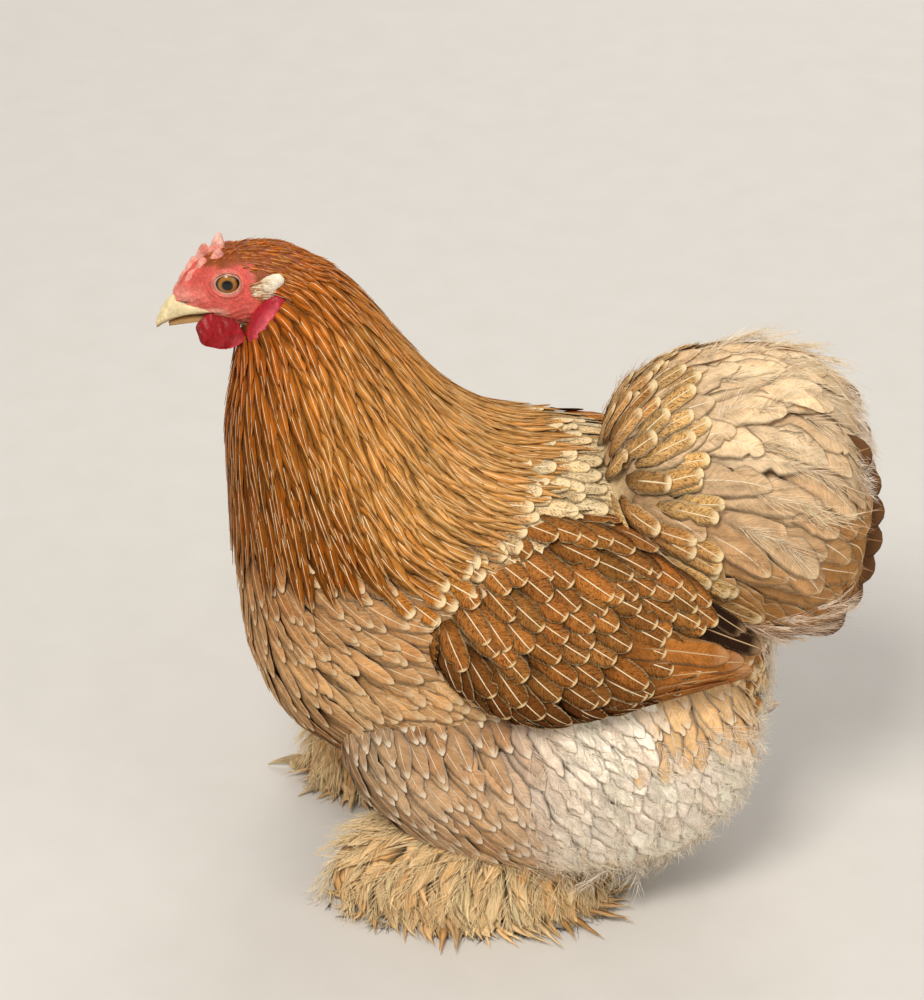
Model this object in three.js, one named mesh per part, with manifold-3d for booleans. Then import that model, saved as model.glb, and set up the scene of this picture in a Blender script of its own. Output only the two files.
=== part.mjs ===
// A buff feather-legged hen as a still, life-size model, standing on its own toes in a walking stance.
// Millimetres, +Z up. The hen faces -X, its left side is -Y, and z = 0 is the floor.
import * as THREE from "three";
import { mergeVertices } from "three/addons/utils/BufferGeometryUtils.js";
import Module from "manifold-3d";

const wasm = await Module();
wasm.setup();

// Gap kept between two touching nodes.
const GAP = 0.35;

// Ribs of the neck and torso, from the crown to the vent. Each is a slice through the body:
// [front x, front z, back x, back z, half-width, centre y].
const BODY_RIBS = [
  [-158, 332, -134, 375, 22, 0],
  [-160, 311, -109, 371, 33, 0],
  [-164, 285, -87, 351, 47, 0],
  [-165, 256, -65, 321, 63, 0],
  [-163, 222, -39, 288, 81, 0],
  [-161, 180, -8, 267, 95, 0],
  [-155, 137, 34, 260, 101, 0],
  [-134, 94, 72, 250, 102, 0],
  [-86, 64, 102, 232, 99, 0],
  [-26, 50, 124, 204, 92, 0],
  [44, 50, 140, 170, 78, 0],
  [100, 64, 141, 136, 56, 0],
  [120, 74, 141, 114, 34, 0],
];
const BODY = { levels: 19, sides: 20 };

// The neck ends at this rib, and its core lies this deep under the hackle from the second rib on.
const NECK = { cut: 4.15, coreDepth: 7 };

// Rows of the hackle, top to bottom: root rib, vanes round the neck, how far round from the back they stand,
// and length. The last row has no length of its own: it reaches the cape line below.
const HACKLE_ROWS = [
  { t: 0.5, count: 7, reach: 1.9, length: 34 },
  { t: 1.25, count: 9, reach: 2.75, length: 44 },
  { t: 2.05, count: 12, reach: Math.PI, length: 50 },
  { t: 2.85, count: 14, reach: Math.PI, length: 56 },
  { t: 3.6, count: 17, reach: Math.PI },
];

// Ribs where the cape of the hackle ends: at the back, at the side and at the front of the body.
const CAPE_LINE = { back: 5.3, side: 5.1, front: 4.75 };

// Rows of the saddle behind the cape: root rib, vanes in the row, length.
const SADDLE_ROWS = [
  { t: 5.42, count: 6, length: 34 },
  { t: 5.85, count: 6, length: 26 },
];
const SADDLE_REACH = 0.46;

// Ribs of the tail cushion, from its root to its round end: [lower x, z, upper x, z, half-width, centre y].
const TAIL_RIBS = [
  [62, 190, 36, 250, 48, 0],
  [88, 166, 50, 282, 64, 0],
  [118, 150, 77, 306, 70, 0],
  [146, 146, 113, 316, 70, 0],
  [170, 154, 150, 312, 64, 0],
  [186, 176, 176, 293, 50, 0],
  [193, 208, 189, 262, 30, 0],
];
const TAIL = { coreDepth: 17, rootDepth: 5, clear: 5, levels: 7, sides: 14 };
const TAIL_ROWS = [
  { t: 0.7, count: 10, length: 60 },
  { t: 1.5, count: 11, length: 66 },
  { t: 2.4, count: 11, length: 68 },
  { t: 3.4, count: 9, length: 62 },
];

// The main tail feathers stand in a tent: the point they spread from, and each one's slope, length and width.
const MAIN_FEATHERS = { x: 84, z: 220, y: 6, spread: 22, root: 74, length: 118, width: 46, thick: 1.6 };
const MAIN_FEATHER_FAN = { count: 4, top: 30, bottom: -34, lean: 0.35 };

// Ribs of the folded left wing, from the shoulder to the tip: [lower x, z, upper x, z, half-thickness,
// centre y, lean of the upper edge towards the back]. The right wing mirrors it.
const WING_RIBS = [
  [-60, 206, -50, 224, 6, 84, 4],
  [-44, 174, -28, 246, 22, 80, 20],
  [-6, 147, 12, 250, 27, 80, 24],
  [40, 149, 52, 242, 26, 80, 23],
  [84, 158, 88, 222, 19, 80, 14],
  [116, 165, 114, 198, 10, 81, 7],
  [137, 167, 134, 180, 4, 80, 2],
];
const WING = { levels: 8, sides: 14, coreEnd: 5, coreDepth: 2, upper: 0.5, lower: 2.8 };
const WING_ROWS = [
  { t: 0.75, count: 4, length: 34 },
  { t: 1.2, count: 6, length: 37 },
  { t: 1.7, count: 6, length: 40 },
  { t: 2.2, count: 6, length: 43 },
  { t: 2.75, count: 6, length: 52 },
];
const SECONDARIES = { t: 3.4, count: 6, end: 5.75 };
const PRIMARIES = { t: 4.05, count: 2, end: 5.96, upper: 0.7, lower: 1.4 };

// Ribs of one thigh and its fluff, from inside the torso down: [front x, z, rear x, z, half-width, centre y].
const THIGH_RIBS = [
  [-40, 186, 56, 192, 20, 50],
  [-80, 158, 104, 162, 34, 58],
  [-99, 122, 130, 124, 47, 63],
  [-98, 88, 128, 84, 48, 64],
  [-80, 60, 110, 54, 42, 64],
  [-54, 42, 84, 36, 30, 65],
  [-22, 34, 52, 30, 15, 66],
];
const THIGH = { levels: 8, sides: 14, stagger: 14, bootClear: 3.6 };
const THIGH_ROWS = [
  { t: 2.0, count: 6, from: 0.1, to: 1.9, length: 44 },
  { t: 3.1, count: 6, from: 0.0, to: 2.2, length: 42 },
  { t: 4.0, count: 6, from: 0.0, to: 2.5, length: 38 },
];

// The head's own frame: the point between the eyes, and how far the bill is pitched down.
const HEAD_AT = new THREE.Vector3(-159, 0, 367);
const HEAD_PITCH = (10 * Math.PI) / 180;
const HEAD = { levels: 8, sides: 14 };

// Head sections along the head's axis: [forward, top, bottom, half-width].
const HEAD_SECTIONS = [
  [-42, 2, -34, 18],
  [-30, 10, -34, 22],
  [-16, 14, -31, 21.5],
  [-3, 14.5, -28, 19.5],
  [9, 13, -25, 16.5],
  [19, 8, -22.5, 13],
  [27, 1, -20.5, 10],
  [33, -6, -20.5, 7.5],
];
const UPPER_BILL_SECTIONS = [
  [16, -11, -18.6, 10.5],
  [25, -7.5, -19.4, 9.4],
  [32, -8, -21, 7.6],
  [37.5, -11.5, -22.6, 5.6],
  [42.5, -17, -24.8, 3.2],
  [46, -22.5, -26.8, 1],
];
const LOWER_BILL_SECTIONS = [
  [16, -12, -25, 9.0],
  [25, -12.5, -25.6, 7.8],
  [33, -14, -26.6, 5.6],
  [40, -18, -27.8, 3.0],
];

const EYE = { forward: 0, up: 1, out: 12.4, radius: 7.2, opening: 5.9, lid: 1.7, tilt: 0.3, lidOut: 4.4 };
const NOSTRIL = { forward: 28.5, up: -9.5, out: 8.6, length: 4.6, depth: 4.4, height: 1.6, turn: -0.5 };

// Spikes of the comb's middle row, front to back: [forward, up, length, thickness].
const COMB_ROW = [
  [31, -5.5, 4.5, 3.6],
  [27, -0.5, 6, 4.2],
  [22, 5, 8, 4.8],
  [15.5, 10, 11, 5.2],
  [7.5, 13, 13, 5.6],
];
const COMB_SIDE = { out: 5.4, share: 0.62, first: 2 };

// A spike's outline as [share of its thickness, share of its length], then its root's depth, sizes and lean.
const COMB_OUTLINE = [
  [0.85, 0.5],
  [0.45, 0.9],
  [0, 1],
];
const COMB_SPIKE = {
  sides: 5,
  sunk: 4,
  foot: 2,
  wide: 1.15,
  thin: 0.62,
  splay: 0.06,
  lean: 0.25,
  fan: 0.022,
  drop: 0.35,
};

// Levels of a wattle, top to bottom: [up, front, rear, half-thickness, out], and its two closing points.
const WATTLE_LEVELS = [
  [-18, 20, 6, 2.4, 9],
  [-24, 24, 1, 3.2, 11],
  [-31, 24.5, -2, 3.4, 13],
  [-37, 22, 1.5, 3.2, 13.5],
  [-41, 17, 7, 2.2, 13],
];
const WATTLE = { sides: 10, cup: 2.6, top: [13, 8, -16], foot: [12, 14, -42.5] };

// The ear lobe and its raised rim, and the pad of bristles over the ear: [forward, out, up] and half sizes.
const EAR_LOBE = { at: [-17, 23, -22.5], size: [15.5, 4.4, 6.6], slope: 0.86 };
const EAR_RIM = { at: [-14, 26, -26], size: [13, 2.4, 1.9], slope: 0.96 };
const EAR_PAD = { at: [-23, 19, 1], size: [9, 4.6, 4.6], turn: -0.5 };

// Where each foot stands, how its toes are spread, and how far its boot feathers reach ahead and behind.
const FEET = {
  left: { side: -1, x: 18, y: 62, turn: -4, ahead: 134, behind: 38 },
  right: { side: 1, x: -78, y: 58, turn: 4, ahead: 50, behind: 42 },
};
const TOES = [
  { name: "inner", turn: -30, length: 46, radius: 5.4 },
  { name: "middle", turn: 2, length: 60, radius: 6 },
  { name: "outer", turn: 32, length: 47, radius: 5.4 },
  { name: "back", turn: 178, length: 34, radius: 5 },
];
const TOE = { start: 4, taper: 0.3, swell: 0.08, middle: 0.86, fall: 0.24, levels: 4, sides: 8 };
const PAD = { height: 14, radius: 12, squash: 0.9, widest: 0.35, curve: 0.5, levels: 3, sides: 12 };
const CLAW = {
  length: 14,
  inside: 2,
  radius: 3.1,
  taper: 0.72,
  thin: 0.8,
  rise: 2.2,
  fall: 3.6,
  tip: 0.9,
  levels: 3,
  sides: 6,
};

// Heights of the boot's skirt of feathers, and its outline there as shares of its reach on the floor:
// [height, share of the reach ahead, share of the reach behind, half-width, shift of the middle outwards].
const BOOT_LEVELS = [
  [80, 0.24, 0.3, 18, 0],
  [57, 0.64, 0.48, 28, 2],
  [37, 0.94, 0.68, 36, 5],
  [16, 1, 0.88, 42, 8],
  [3, 0.97, 1, 45, 10],
];
const BOOT = { coreDepth: 7, coreEnd: 2.7, levels: 4, sides: 12 };
const BOOT_ROWS = [
  { t: 1.25, count: 8, length: 50 },
  { t: 2.25, count: 12, length: 42 },
];

const COLOURS = {
  hackle: 0xb9762f,
  torso: 0xc99a63,
  wing: 0xa8713c,
  cushion: 0xd9b582,
  fluff: 0xe4d3b4,
  boot: 0xd3a468,
  face: 0xc9504a,
  comb: 0xd8605c,
  lobe: 0xb3303a,
  ear: 0xf0e2c8,
  bill: 0xd9b36a,
  eye: 0x9a7a3a,
  toe: 0xc9b183,
  claw: 0xa58a62,
};

// How far a closing point stands past an end ring, as a share of the ring's depth.
const POLE_SHARE = 0.09;

// A feather's root is sunk this far into the core, and rises from it over this share of its length.
const ROOTED = 4.5;
const RISE = 0.3;

// A feather's line is followed over its form in this many steps.
const VANE_STEPS = 12;

// In a row, feathers stand this share of a space off the even places, and are drawn this share to and fro.
const ROW_SHIFT = 0.25;
const ROW_DRAW = 0.04;

// Along a ribbed form a feather is never read as moving slower than this, in millimetres for each rib.
const SLOWEST = 10;

// Rib numbers and angles are stepped by this to read a form's slopes.
const SMALL_STEP = 0.02;

// Outlines of a feather, as rings of [share of its length, share of its width, share of its thickness].
const ROUND = [
  [1 / 3, 0.9, 1],
  [5 / 6, 0.86, 0.8],
];
const POINTED = [
  [1 / 3, 1, 1],
  [5 / 6, 0.6, 0.8],
];
const LONG = [
  [1 / 3, 0.9, 1],
  [2 / 3, 1, 1],
  [11 / 12, 0.7, 0.7],
];

// Shared shape functions.

function solid(positions, triangles) {
  const geometry = new THREE.BufferGeometry();
  geometry.setAttribute("position", new THREE.Float32BufferAttribute(positions.flatMap((p) => [p.x, p.y, p.z]), 3));
  geometry.setIndex(triangles.flat());
  return solidFrom(geometry);
}

function solidFrom(geometry) {
  const plain = geometry.clone();
  plain.deleteAttribute("normal");
  plain.deleteAttribute("uv");
  const merged = mergeVertices(plain, 1e-4);
  const corners = Array.from(merged.index.array);
  const faces = [];
  for (let i = 0; i < corners.length; i += 3) {
    const [a, b, c] = corners.slice(i, i + 3);
    if (a !== b && b !== c && a !== c) faces.push(a, b, c);
  }
  const build = (triangles) =>
    new wasm.Manifold(
      new wasm.Mesh({
        numProp: 3,
        vertProperties: merged.attributes.position.array,
        triVerts: new Uint32Array(triangles),
      }),
    );
  const made = build(faces);
  return made.volume() < 0 ? build([...faces].reverse()) : made;
}

// Closes a stack of rings into a solid. A pole is one point past an end ring; with no pole the end is flat.
function stack(rings, startPole, endPole) {
  const sides = rings[0].length;
  const points = rings.flat();
  const faces = [];
  for (let i = 0; i + 1 < rings.length; i++)
    for (let k = 0; k < sides; k++) {
      const a = i * sides + k;
      const b = i * sides + ((k + 1) % sides);
      const [c, d] = [a + sides, b + sides];
      if (k < sides / 2) faces.push([a, b, d], [a, d, c]);
      else faces.push([a, b, c], [b, d, c]);
    }
  const close = (first, pole, turned) => {
    if (pole) points.push(pole);
    const hub = pole ? points.length - 1 : first;
    for (let k = pole ? 0 : 1; k < (pole ? sides : sides - 1); k++) {
      const face = [hub, first + k, first + ((k + 1) % sides)];
      faces.push(turned ? face.reverse() : face);
    }
  };
  close(0, startPole, true);
  close((rings.length - 1) * sides, endPole, false);
  return solid(points, faces);
}

// Smooth value of a list of number rows at a place between 0 and its last row.
function sample(rows, t) {
  const last = rows.length - 1;
  const i = Math.min(Math.max(Math.floor(t), 0), last - 1);
  const f = t - i;
  const row = (n) => rows[Math.min(Math.max(n, 0), last)];
  const [a, b, c, d] = [row(i - 1), row(i), row(i + 1), row(i + 2)];
  return b.map(
    (v, k) =>
      v +
      0.5 * f * (c[k] - a[k] + f * (2 * a[k] - 5 * v + 4 * c[k] - d[k] + f * (3 * (v - c[k]) + d[k] - a[k]))),
  );
}

// A point of a ribbed form at rib number t. Angle 0 is a rib's back end, pi its front end, and a negative angle
// is the left side.
function ribPoint(ribs, t, angle) {
  const [fx, fz, bx, bz, width, y, lean = 0] = sample(ribs, t);
  const c = Math.cos(angle) / 2;
  return new THREE.Vector3(
    (fx + bx) / 2 + c * (bx - fx),
    y + Math.sin(angle) * width - 2 * c * lean,
    (fz + bz) / 2 + c * (bz - fz),
  );
}

// Position, outward normal and direction of lie at a place on a ribbed form, raised by lift.
function onRibs(ribs, t, angle, lift = 0) {
  const step = SMALL_STEP;
  const at = ribPoint(ribs, t, angle);
  const along = ribPoint(ribs, t + step, angle).sub(ribPoint(ribs, t - step, angle));
  const round = ribPoint(ribs, t, angle + step).sub(ribPoint(ribs, t, angle - step));
  const normal = new THREE.Vector3().crossVectors(round, along).normalize();
  const [fx, fz, bx, bz, , y] = sample(ribs, t);
  const centre = new THREE.Vector3((fx + bx) / 2, y, (fz + bz) / 2);
  if (normal.dot(at.clone().sub(centre)) < 0) normal.negate();
  return {
    point: at.addScaledVector(normal, lift),
    normal,
    lie: along.clone().normalize(),
    speed: along.length() / (2 * step),
  };
}

// The closed solid of a ribbed form, raised all round by lift, which is a number or a function of rib number.
function ribSolid(ribs, levels, sides, lift = 0, from = 0, to = ribs.length - 1) {
  const liftAt = typeof lift === "function" ? lift : () => lift;
  const rings = [];
  for (let i = 0; i <= levels; i++) {
    const t = from + ((to - from) * i) / levels;
    rings.push(
      Array.from({ length: sides }, (_, k) => onRibs(ribs, t, (2 * Math.PI * k) / sides, liftAt(t)).point),
    );
  }
  const middle = (ring) => ring.reduce((sum, p) => sum.add(p), new THREE.Vector3()).divideScalar(sides);
  const pole = (ring, inner, lifted) => {
    const out = middle(ring).sub(middle(inner));
    return middle(ring).add(out.setLength(ring[0].distanceTo(ring[sides / 2]) * POLE_SHARE + lifted));
  };
  const first = pole(rings[0], rings[1], Math.max(0, liftAt(from)));
  return stack(rings, first, pole(rings[levels], rings[levels - 1], Math.max(0, liftAt(to))));
}

// One feather or lock: a thin vane laid over a ribbed form, with a flat underside and a low ridge. Its root is a
// point sunk by depth, it rises over its first part to the height base, and climbs slowly to the height tip.
function vane(ribs, root, feather) {
  const { length, half, thick, depth, base, tip, shape = ROUND } = feather;
  const [first, angle] = root;
  const last = ribs.length - 1;
  const places = [first];
  for (let i = 0; i < VANE_STEPS; i++) {
    const speed = Math.max(onRibs(ribs, places[i], angle).speed, SLOWEST);
    places.push(Math.min(places[i] + length / VANE_STEPS / speed, last));
  }
  const height = (share) =>
    share < RISE
      ? -depth + ((base + depth) * share) / RISE
      : base + ((tip - base) * (share - RISE)) / (1 - RISE);
  const rings = shape.map(([share, wide, deep]) => {
    const at = places[Math.round(share * VANE_STEPS)];
    const low = height(share) - thick / 2;
    const side = half * wide;
    return [
      onRibs(ribs, at, angle - side, low).point,
      onRibs(ribs, at, angle, low + thick * deep).point,
      onRibs(ribs, at, angle + side, low).point,
      onRibs(ribs, at, angle, low).point,
    ];
  });
  const end = (i, share) => onRibs(ribs, places[i], angle, height(share)).point;
  return stack(rings, end(0, 0), end(VANE_STEPS, 1));
}

function union(parts) {
  return wasm.Manifold.union(parts);
}

// The largest closed body of a solid, which drops loose scraps and fills sealed hollows.
function largest(whole) {
  const bodies = whole.decompose().filter((b) => b.volume() > 0);
  return bodies.reduce((best, b) => (b.volume() > best.volume() ? b : best));
}

// A seeded draw between -1 and 1, the same each run.
function drawer(seed) {
  let state = seed;
  return () => {
    state = (state * 16807) % 2147483647;
    return (state / 2147483647) * 2 - 1;
  };
}

const hen = new THREE.Group();

function addNode(name, whole, colour, roughness = 0.8) {
  const mesh = largest(whole).getMesh();
  const geometry = new THREE.BufferGeometry();
  geometry.setAttribute("position", new THREE.BufferAttribute(new Float32Array(mesh.vertProperties), 3));
  geometry.setIndex(new THREE.BufferAttribute(new Uint32Array(mesh.triVerts), 1));
  geometry.computeVertexNormals();
  const node = new THREE.Mesh(geometry, new THREE.MeshStandardMaterial({ color: colour, roughness, metalness: 0 }));
  node.name = name;
  hen.add(node);
}

// The head and its parts.

// A point in the head's frame: forward along the bill, out to the side, up.
function headPoint(forward, out, up) {
  const [c, s] = [Math.cos(HEAD_PITCH), Math.sin(HEAD_PITCH)];
  return new THREE.Vector3(
    HEAD_AT.x - forward * c - up * s,
    HEAD_AT.y + out,
    HEAD_AT.z - forward * s + up * c,
  );
}

function sidePoint(side, [forward, out, up]) {
  return headPoint(forward, side * out, up);
}

// Head sections as ribs whose back end is the crown.
function headRibs(sections) {
  return sections.map(([forward, top, bottom, width]) => {
    const low = headPoint(forward, 0, bottom);
    const high = headPoint(forward, 0, top);
    return [low.x, low.z, high.x, high.z, width, 0];
  });
}

function ellipsoid(centre, sizes, turns, detail = [12, 8]) {
  const geometry = new THREE.SphereGeometry(1, ...detail);
  geometry.scale(...sizes);
  geometry.rotateX(turns[0]);
  geometry.rotateY(turns[1] + HEAD_PITCH);
  geometry.rotateZ(turns[2]);
  geometry.translate(centre.x, centre.y, centre.z);
  return solidFrom(geometry);
}

function eyeball(side, grow) {
  const at = headPoint(EYE.forward, side * EYE.out, EYE.up);
  const size = EYE.radius + grow;
  return ellipsoid(at, [size, size, size], [0, 0, 0], [10, 7]);
}

function eyelids(side) {
  const out = side * (EYE.out + EYE.lidOut * Math.cos(EYE.tilt));
  const at = headPoint(EYE.forward, out, EYE.up + EYE.lidOut * Math.sin(EYE.tilt));
  const ring = new THREE.TorusGeometry(EYE.opening + EYE.lid * 0.7, EYE.lid, 5, 12);
  ring.scale(1.08, 0.96, 1);
  ring.rotateX(-side * (Math.PI / 2 - EYE.tilt));
  ring.rotateY(HEAD_PITCH);
  ring.translate(at.x, at.y, at.z);
  return solidFrom(ring);
}

function nostril(side) {
  const at = headPoint(NOSTRIL.forward, side * NOSTRIL.out, NOSTRIL.up);
  const sizes = [NOSTRIL.length / 2, NOSTRIL.depth / 2, NOSTRIL.height / 2];
  return ellipsoid(at, sizes, [0, NOSTRIL.turn, 0], [6, 4]);
}

function upperBill(lift) {
  return ribSolid(headRibs(UPPER_BILL_SECTIONS), 6, 10, lift);
}

function lowerBill(lift) {
  return ribSolid(headRibs(LOWER_BILL_SECTIONS), 4, 10, lift);
}

// One spike of the comb, a blunt bump that leans forward off the brow.
function combSpike([forward, up, length, thickness], out, share) {
  const { sides, sunk, foot, wide, thin, splay, lean, fan, drop } = COMB_SPIKE;
  const root = [[0, -sunk], [thickness, -foot]];
  const blade = COMB_OUTLINE.map(([across, along]) => [thickness * across, length * share * along]);
  const profile = [...root, ...blade].map(([x, y]) => new THREE.Vector2(x, y));
  const spike = new THREE.LatheGeometry(profile, sides);
  spike.scale(wide, 1, thin);
  spike.rotateX(Math.PI / 2);
  spike.rotateX(-out * splay);
  spike.rotateY(HEAD_PITCH - lean - forward * fan);
  const at = headPoint(forward, out, up - Math.abs(out) * drop);
  spike.translate(at.x, at.y, at.z);
  return solidFrom(spike);
}

function comb() {
  const rows = [-COMB_SIDE.out, 0, COMB_SIDE.out];
  const row = (out) => (out ? COMB_ROW.slice(COMB_SIDE.first) : COMB_ROW);
  return union(
    rows.flatMap((out) => row(out).map((spike) => combSpike(spike, out, out ? COMB_SIDE.share : 1))),
  );
}

// A wattle: a thin lobe that hangs from the lower bill, cupped and thick at its rim.
function wattle(side) {
  const { sides, cup, top, foot } = WATTLE;
  const rings = WATTLE_LEVELS.map(([up, front, rear, thick, out]) =>
    Array.from({ length: sides }, (_, k) => {
      const angle = (2 * Math.PI * k) / sides;
      const bulge = cup * Math.cos(angle) ** 2 + Math.sin(angle) * thick;
      const forward = (front + rear) / 2 + (Math.cos(angle) * (front - rear)) / 2;
      return headPoint(forward, side * (out + bulge), up);
    }),
  );
  return stack(rings, sidePoint(side, top), sidePoint(side, foot));
}

// An ear lobe: a long fold that hangs from behind the ear towards the throat, with a raised rim.
function earLobe(side) {
  const body = ellipsoid(sidePoint(side, EAR_LOBE.at), EAR_LOBE.size, [0, EAR_LOBE.slope, 0], [12, 6]);
  const rim = ellipsoid(sidePoint(side, EAR_RIM.at), EAR_RIM.size, [0, EAR_RIM.slope, 0], [10, 5]);
  return union([body, rim]);
}

// The pad of pale bristle feathers over the ear hole.
function earPad(side) {
  return ellipsoid(sidePoint(side, EAR_PAD.at), EAR_PAD.size, [0, EAR_PAD.turn, 0], [10, 6]);
}

// The neck and the torso.

const neckCutRib = sample(BODY_RIBS, NECK.cut);
const neckCutNormal = new THREE.Vector3(neckCutRib[1] - neckCutRib[3], 0, neckCutRib[2] - neckCutRib[0])
  .normalize()
  .negate();
const neckCutAt = neckCutNormal.dot(new THREE.Vector3(neckCutRib[0], 0, neckCutRib[1]));

// The plane between the head and the neck passes the throat and the nape.
const THROAT = new THREE.Vector3(-157, 0, 322);
const NAPE = new THREE.Vector3(-121, 0, 384);
const headCutNormal = new THREE.Vector3(NAPE.z - THROAT.z, 0, THROAT.x - NAPE.x).normalize();
const headCutAt = headCutNormal.dot(THROAT);

// The part of a solid past a plane, and the part before it.
function keepAhead(whole, normal, at) {
  return whole.trimByPlane([normal.x, normal.y, normal.z], at);
}

function keepBehind(whole, normal, at) {
  return whole.trimByPlane([-normal.x, -normal.y, -normal.z], -at);
}

// Angles of a row of feathers, spread evenly and drawn a little to and fro. Odd rows stand between even ones.
function rowAngles(count, from, to, row, draw) {
  const step = (to - from) / count;
  const shift = row % 2 ? ROW_SHIFT : -ROW_SHIFT;
  return Array.from({ length: count }, (_, k) => from + (k + 0.5 + shift + ROW_DRAW * draw()) * step);
}

function runLength(ribs, from, to, angle) {
  const steps = 8;
  let length = 0;
  for (let i = 0; i < steps; i++) {
    const t = from + ((to - from) * i) / steps;
    length += ribPoint(ribs, t, angle).distanceTo(ribPoint(ribs, t + (to - from) / steps, angle));
  }
  return length;
}

function capeEnd(angle) {
  const c = Math.cos(angle);
  return CAPE_LINE.side + Math.abs(c) * ((c > 0 ? CAPE_LINE.back : CAPE_LINE.front) - CAPE_LINE.side);
}

function hackle() {
  const draw = drawer(11);
  return HACKLE_ROWS.flatMap((row, r) =>
    rowAngles(row.count, -row.reach, row.reach, r, draw).map((angle) =>
      vane(BODY_RIBS, [row.t, angle], {
        length: (row.length ?? runLength(BODY_RIBS, row.t, capeEnd(angle), angle)) * (1 + 0.05 * draw()),
        half: (row.reach / row.count) * 0.9,
        thick: 1.3,
        depth: NECK.coreDepth * Math.min(1, row.t) + ROOTED,
        base: row.length ? 1.3 : 2.1,
        tip: row.length ? 4.4 : 4.8,
        shape: POINTED,
      }),
    ),
  );
}

function saddle() {
  const draw = drawer(23);
  return SADDLE_ROWS.flatMap((row, r) =>
    rowAngles(row.count, -SADDLE_REACH, SADDLE_REACH, r, draw).map((angle) =>
      vane(BODY_RIBS, [row.t, angle], {
        length: row.length * (1 + 0.06 * draw()),
        half: (SADDLE_REACH / row.count) * 0.88,
        thick: 1.2,
        depth: ROOTED,
        base: 1.1,
        tip: 3.8,
        shape: POINTED,
      }),
    ),
  );
}

function bodySolid(lift) {
  return ribSolid(BODY_RIBS, BODY.levels, BODY.sides, lift);
}

const body = bodySolid(0);
const bodyGrown = bodySolid(GAP);
const neckCore = bodySolid((t) => -NECK.coreDepth * Math.min(1, Math.max(0, t - 0.15)));
const torsoCore = keepAhead(body, neckCutNormal, neckCutAt + GAP / 2);
const torsoGrown = keepAhead(bodyGrown, neckCutNormal, neckCutAt - GAP / 2);

// The tail.

// The tail's core lies close under the feathers at its root and deep under them behind.
function tailCoreDepth(t) {
  return TAIL.rootDepth + (TAIL.coreDepth - TAIL.rootDepth) * Math.min(1, Math.max(0, t - 0.5) / 1.5);
}

function tailSolid(lift) {
  return ribSolid(TAIL_RIBS, TAIL.levels, TAIL.sides, lift);
}

function cushion() {
  const draw = drawer(37);
  return TAIL_ROWS.flatMap((row, r) =>
    rowAngles(row.count, -Math.PI, Math.PI, r, draw).map((angle) =>
      vane(TAIL_RIBS, [row.t, angle], {
        length: row.length * (1 + 0.06 * draw()),
        half: (Math.PI / row.count) * 0.94,
        thick: 1.4,
        depth: tailCoreDepth(row.t) + 2 * ROOTED,
        base: 0.6,
        tip: 3.6,
        shape: LONG,
      }),
    ),
  );
}

// A main tail feather: a flat vane that leans out from the middle and ends bluntly at the rim.
function mainFeather(side, share) {
  const { x, z, y, spread, root, length, width, thick } = MAIN_FEATHERS;
  const { top, bottom, lean } = MAIN_FEATHER_FAN;
  const slope = top + (bottom - top) * share;
  const turn = (slope * Math.PI) / 180;
  const place = (along) => {
    const reach = root + (length - root) * along;
    const out = (y + spread * share) * (0.5 + 0.5 * along);
    return new THREE.Vector3(x + Math.cos(turn) * reach, side * out, z + Math.sin(turn) * reach);
  };
  const rings = ROUND.map(([along, wide, deep]) => {
    const middle = place(along);
    const across = new THREE.Vector3(-Math.sin(turn), -side * lean, Math.cos(turn)).setLength((width / 2) * wide);
    const up = new THREE.Vector3(0, (side * thick) / 2, 0).multiplyScalar(deep);
    return [
      middle.clone().sub(across).sub(up),
      middle.clone().add(up),
      middle.clone().add(across).sub(up),
      middle.clone().sub(up),
    ];
  });
  return stack(rings, place(0), place(1));
}

function mainFeathers() {
  const { count } = MAIN_FEATHER_FAN;
  const shares = Array.from({ length: count }, (_, i) => i / (count - 1));
  return [-1, 1].flatMap((side) => shares.map((share) => mainFeather(side, share)));
}

// The wings.

function wingRibs(side) {
  return WING_RIBS.map(([lx, lz, ux, uz, thick, y, lean]) => [lx, lz, ux, uz, thick, side * y, side * lean]);
}

function wingSolid(side, lift, end = WING_RIBS.length - 1) {
  return ribSolid(wingRibs(side), WING.levels, WING.sides, lift, 0, end);
}

function wingFeathers(side) {
  const ribs = wingRibs(side);
  const draw = drawer(53);
  const coverts = WING_ROWS.flatMap((row, r) =>
    rowAngles(row.count, WING.upper, WING.lower, r, draw).map((angle) =>
      vane(ribs, [row.t, side * angle], {
        length: row.length * (1 + 0.05 * draw()),
        half: ((WING.lower - WING.upper) / row.count / 2) * 0.94,
        thick: 1.3,
        depth: WING.coreDepth + ROOTED,
        base: 0.9,
        tip: 3.7,
        shape: ROUND,
      }),
    ),
  );
  const flight = (spec, upper, lower, base, tip) =>
    rowAngles(spec.count, upper, lower, 0, draw).map((angle) =>
      vane(ribs, [spec.t, side * angle], {
        length: runLength(ribs, spec.t, spec.end, side * angle) * (1 + 0.03 * draw()),
        half: ((lower - upper) / spec.count / 2) * 0.96,
        thick: 1.3,
        depth: WING.coreDepth + ROOTED,
        base,
        tip,
        shape: ROUND,
      }),
    );
  return [
    ...coverts,
    ...flight(SECONDARIES, WING.upper, WING.lower, 1.1, 4.6),
    ...flight(PRIMARIES, PRIMARIES.upper, PRIMARIES.lower, 0.4, 1.4),
  ];
}

// The legs and the feet.

function thighRibs(side) {
  const shift = side > 0 ? -THIGH.stagger : 0;
  return THIGH_RIBS.map(([fx, fz, bx, bz, width, y]) => [fx + shift, fz, bx + shift, bz, width, side * y]);
}

function thighSolid(side, lift) {
  return ribSolid(thighRibs(side), THIGH.levels, THIGH.sides, lift);
}

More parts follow.
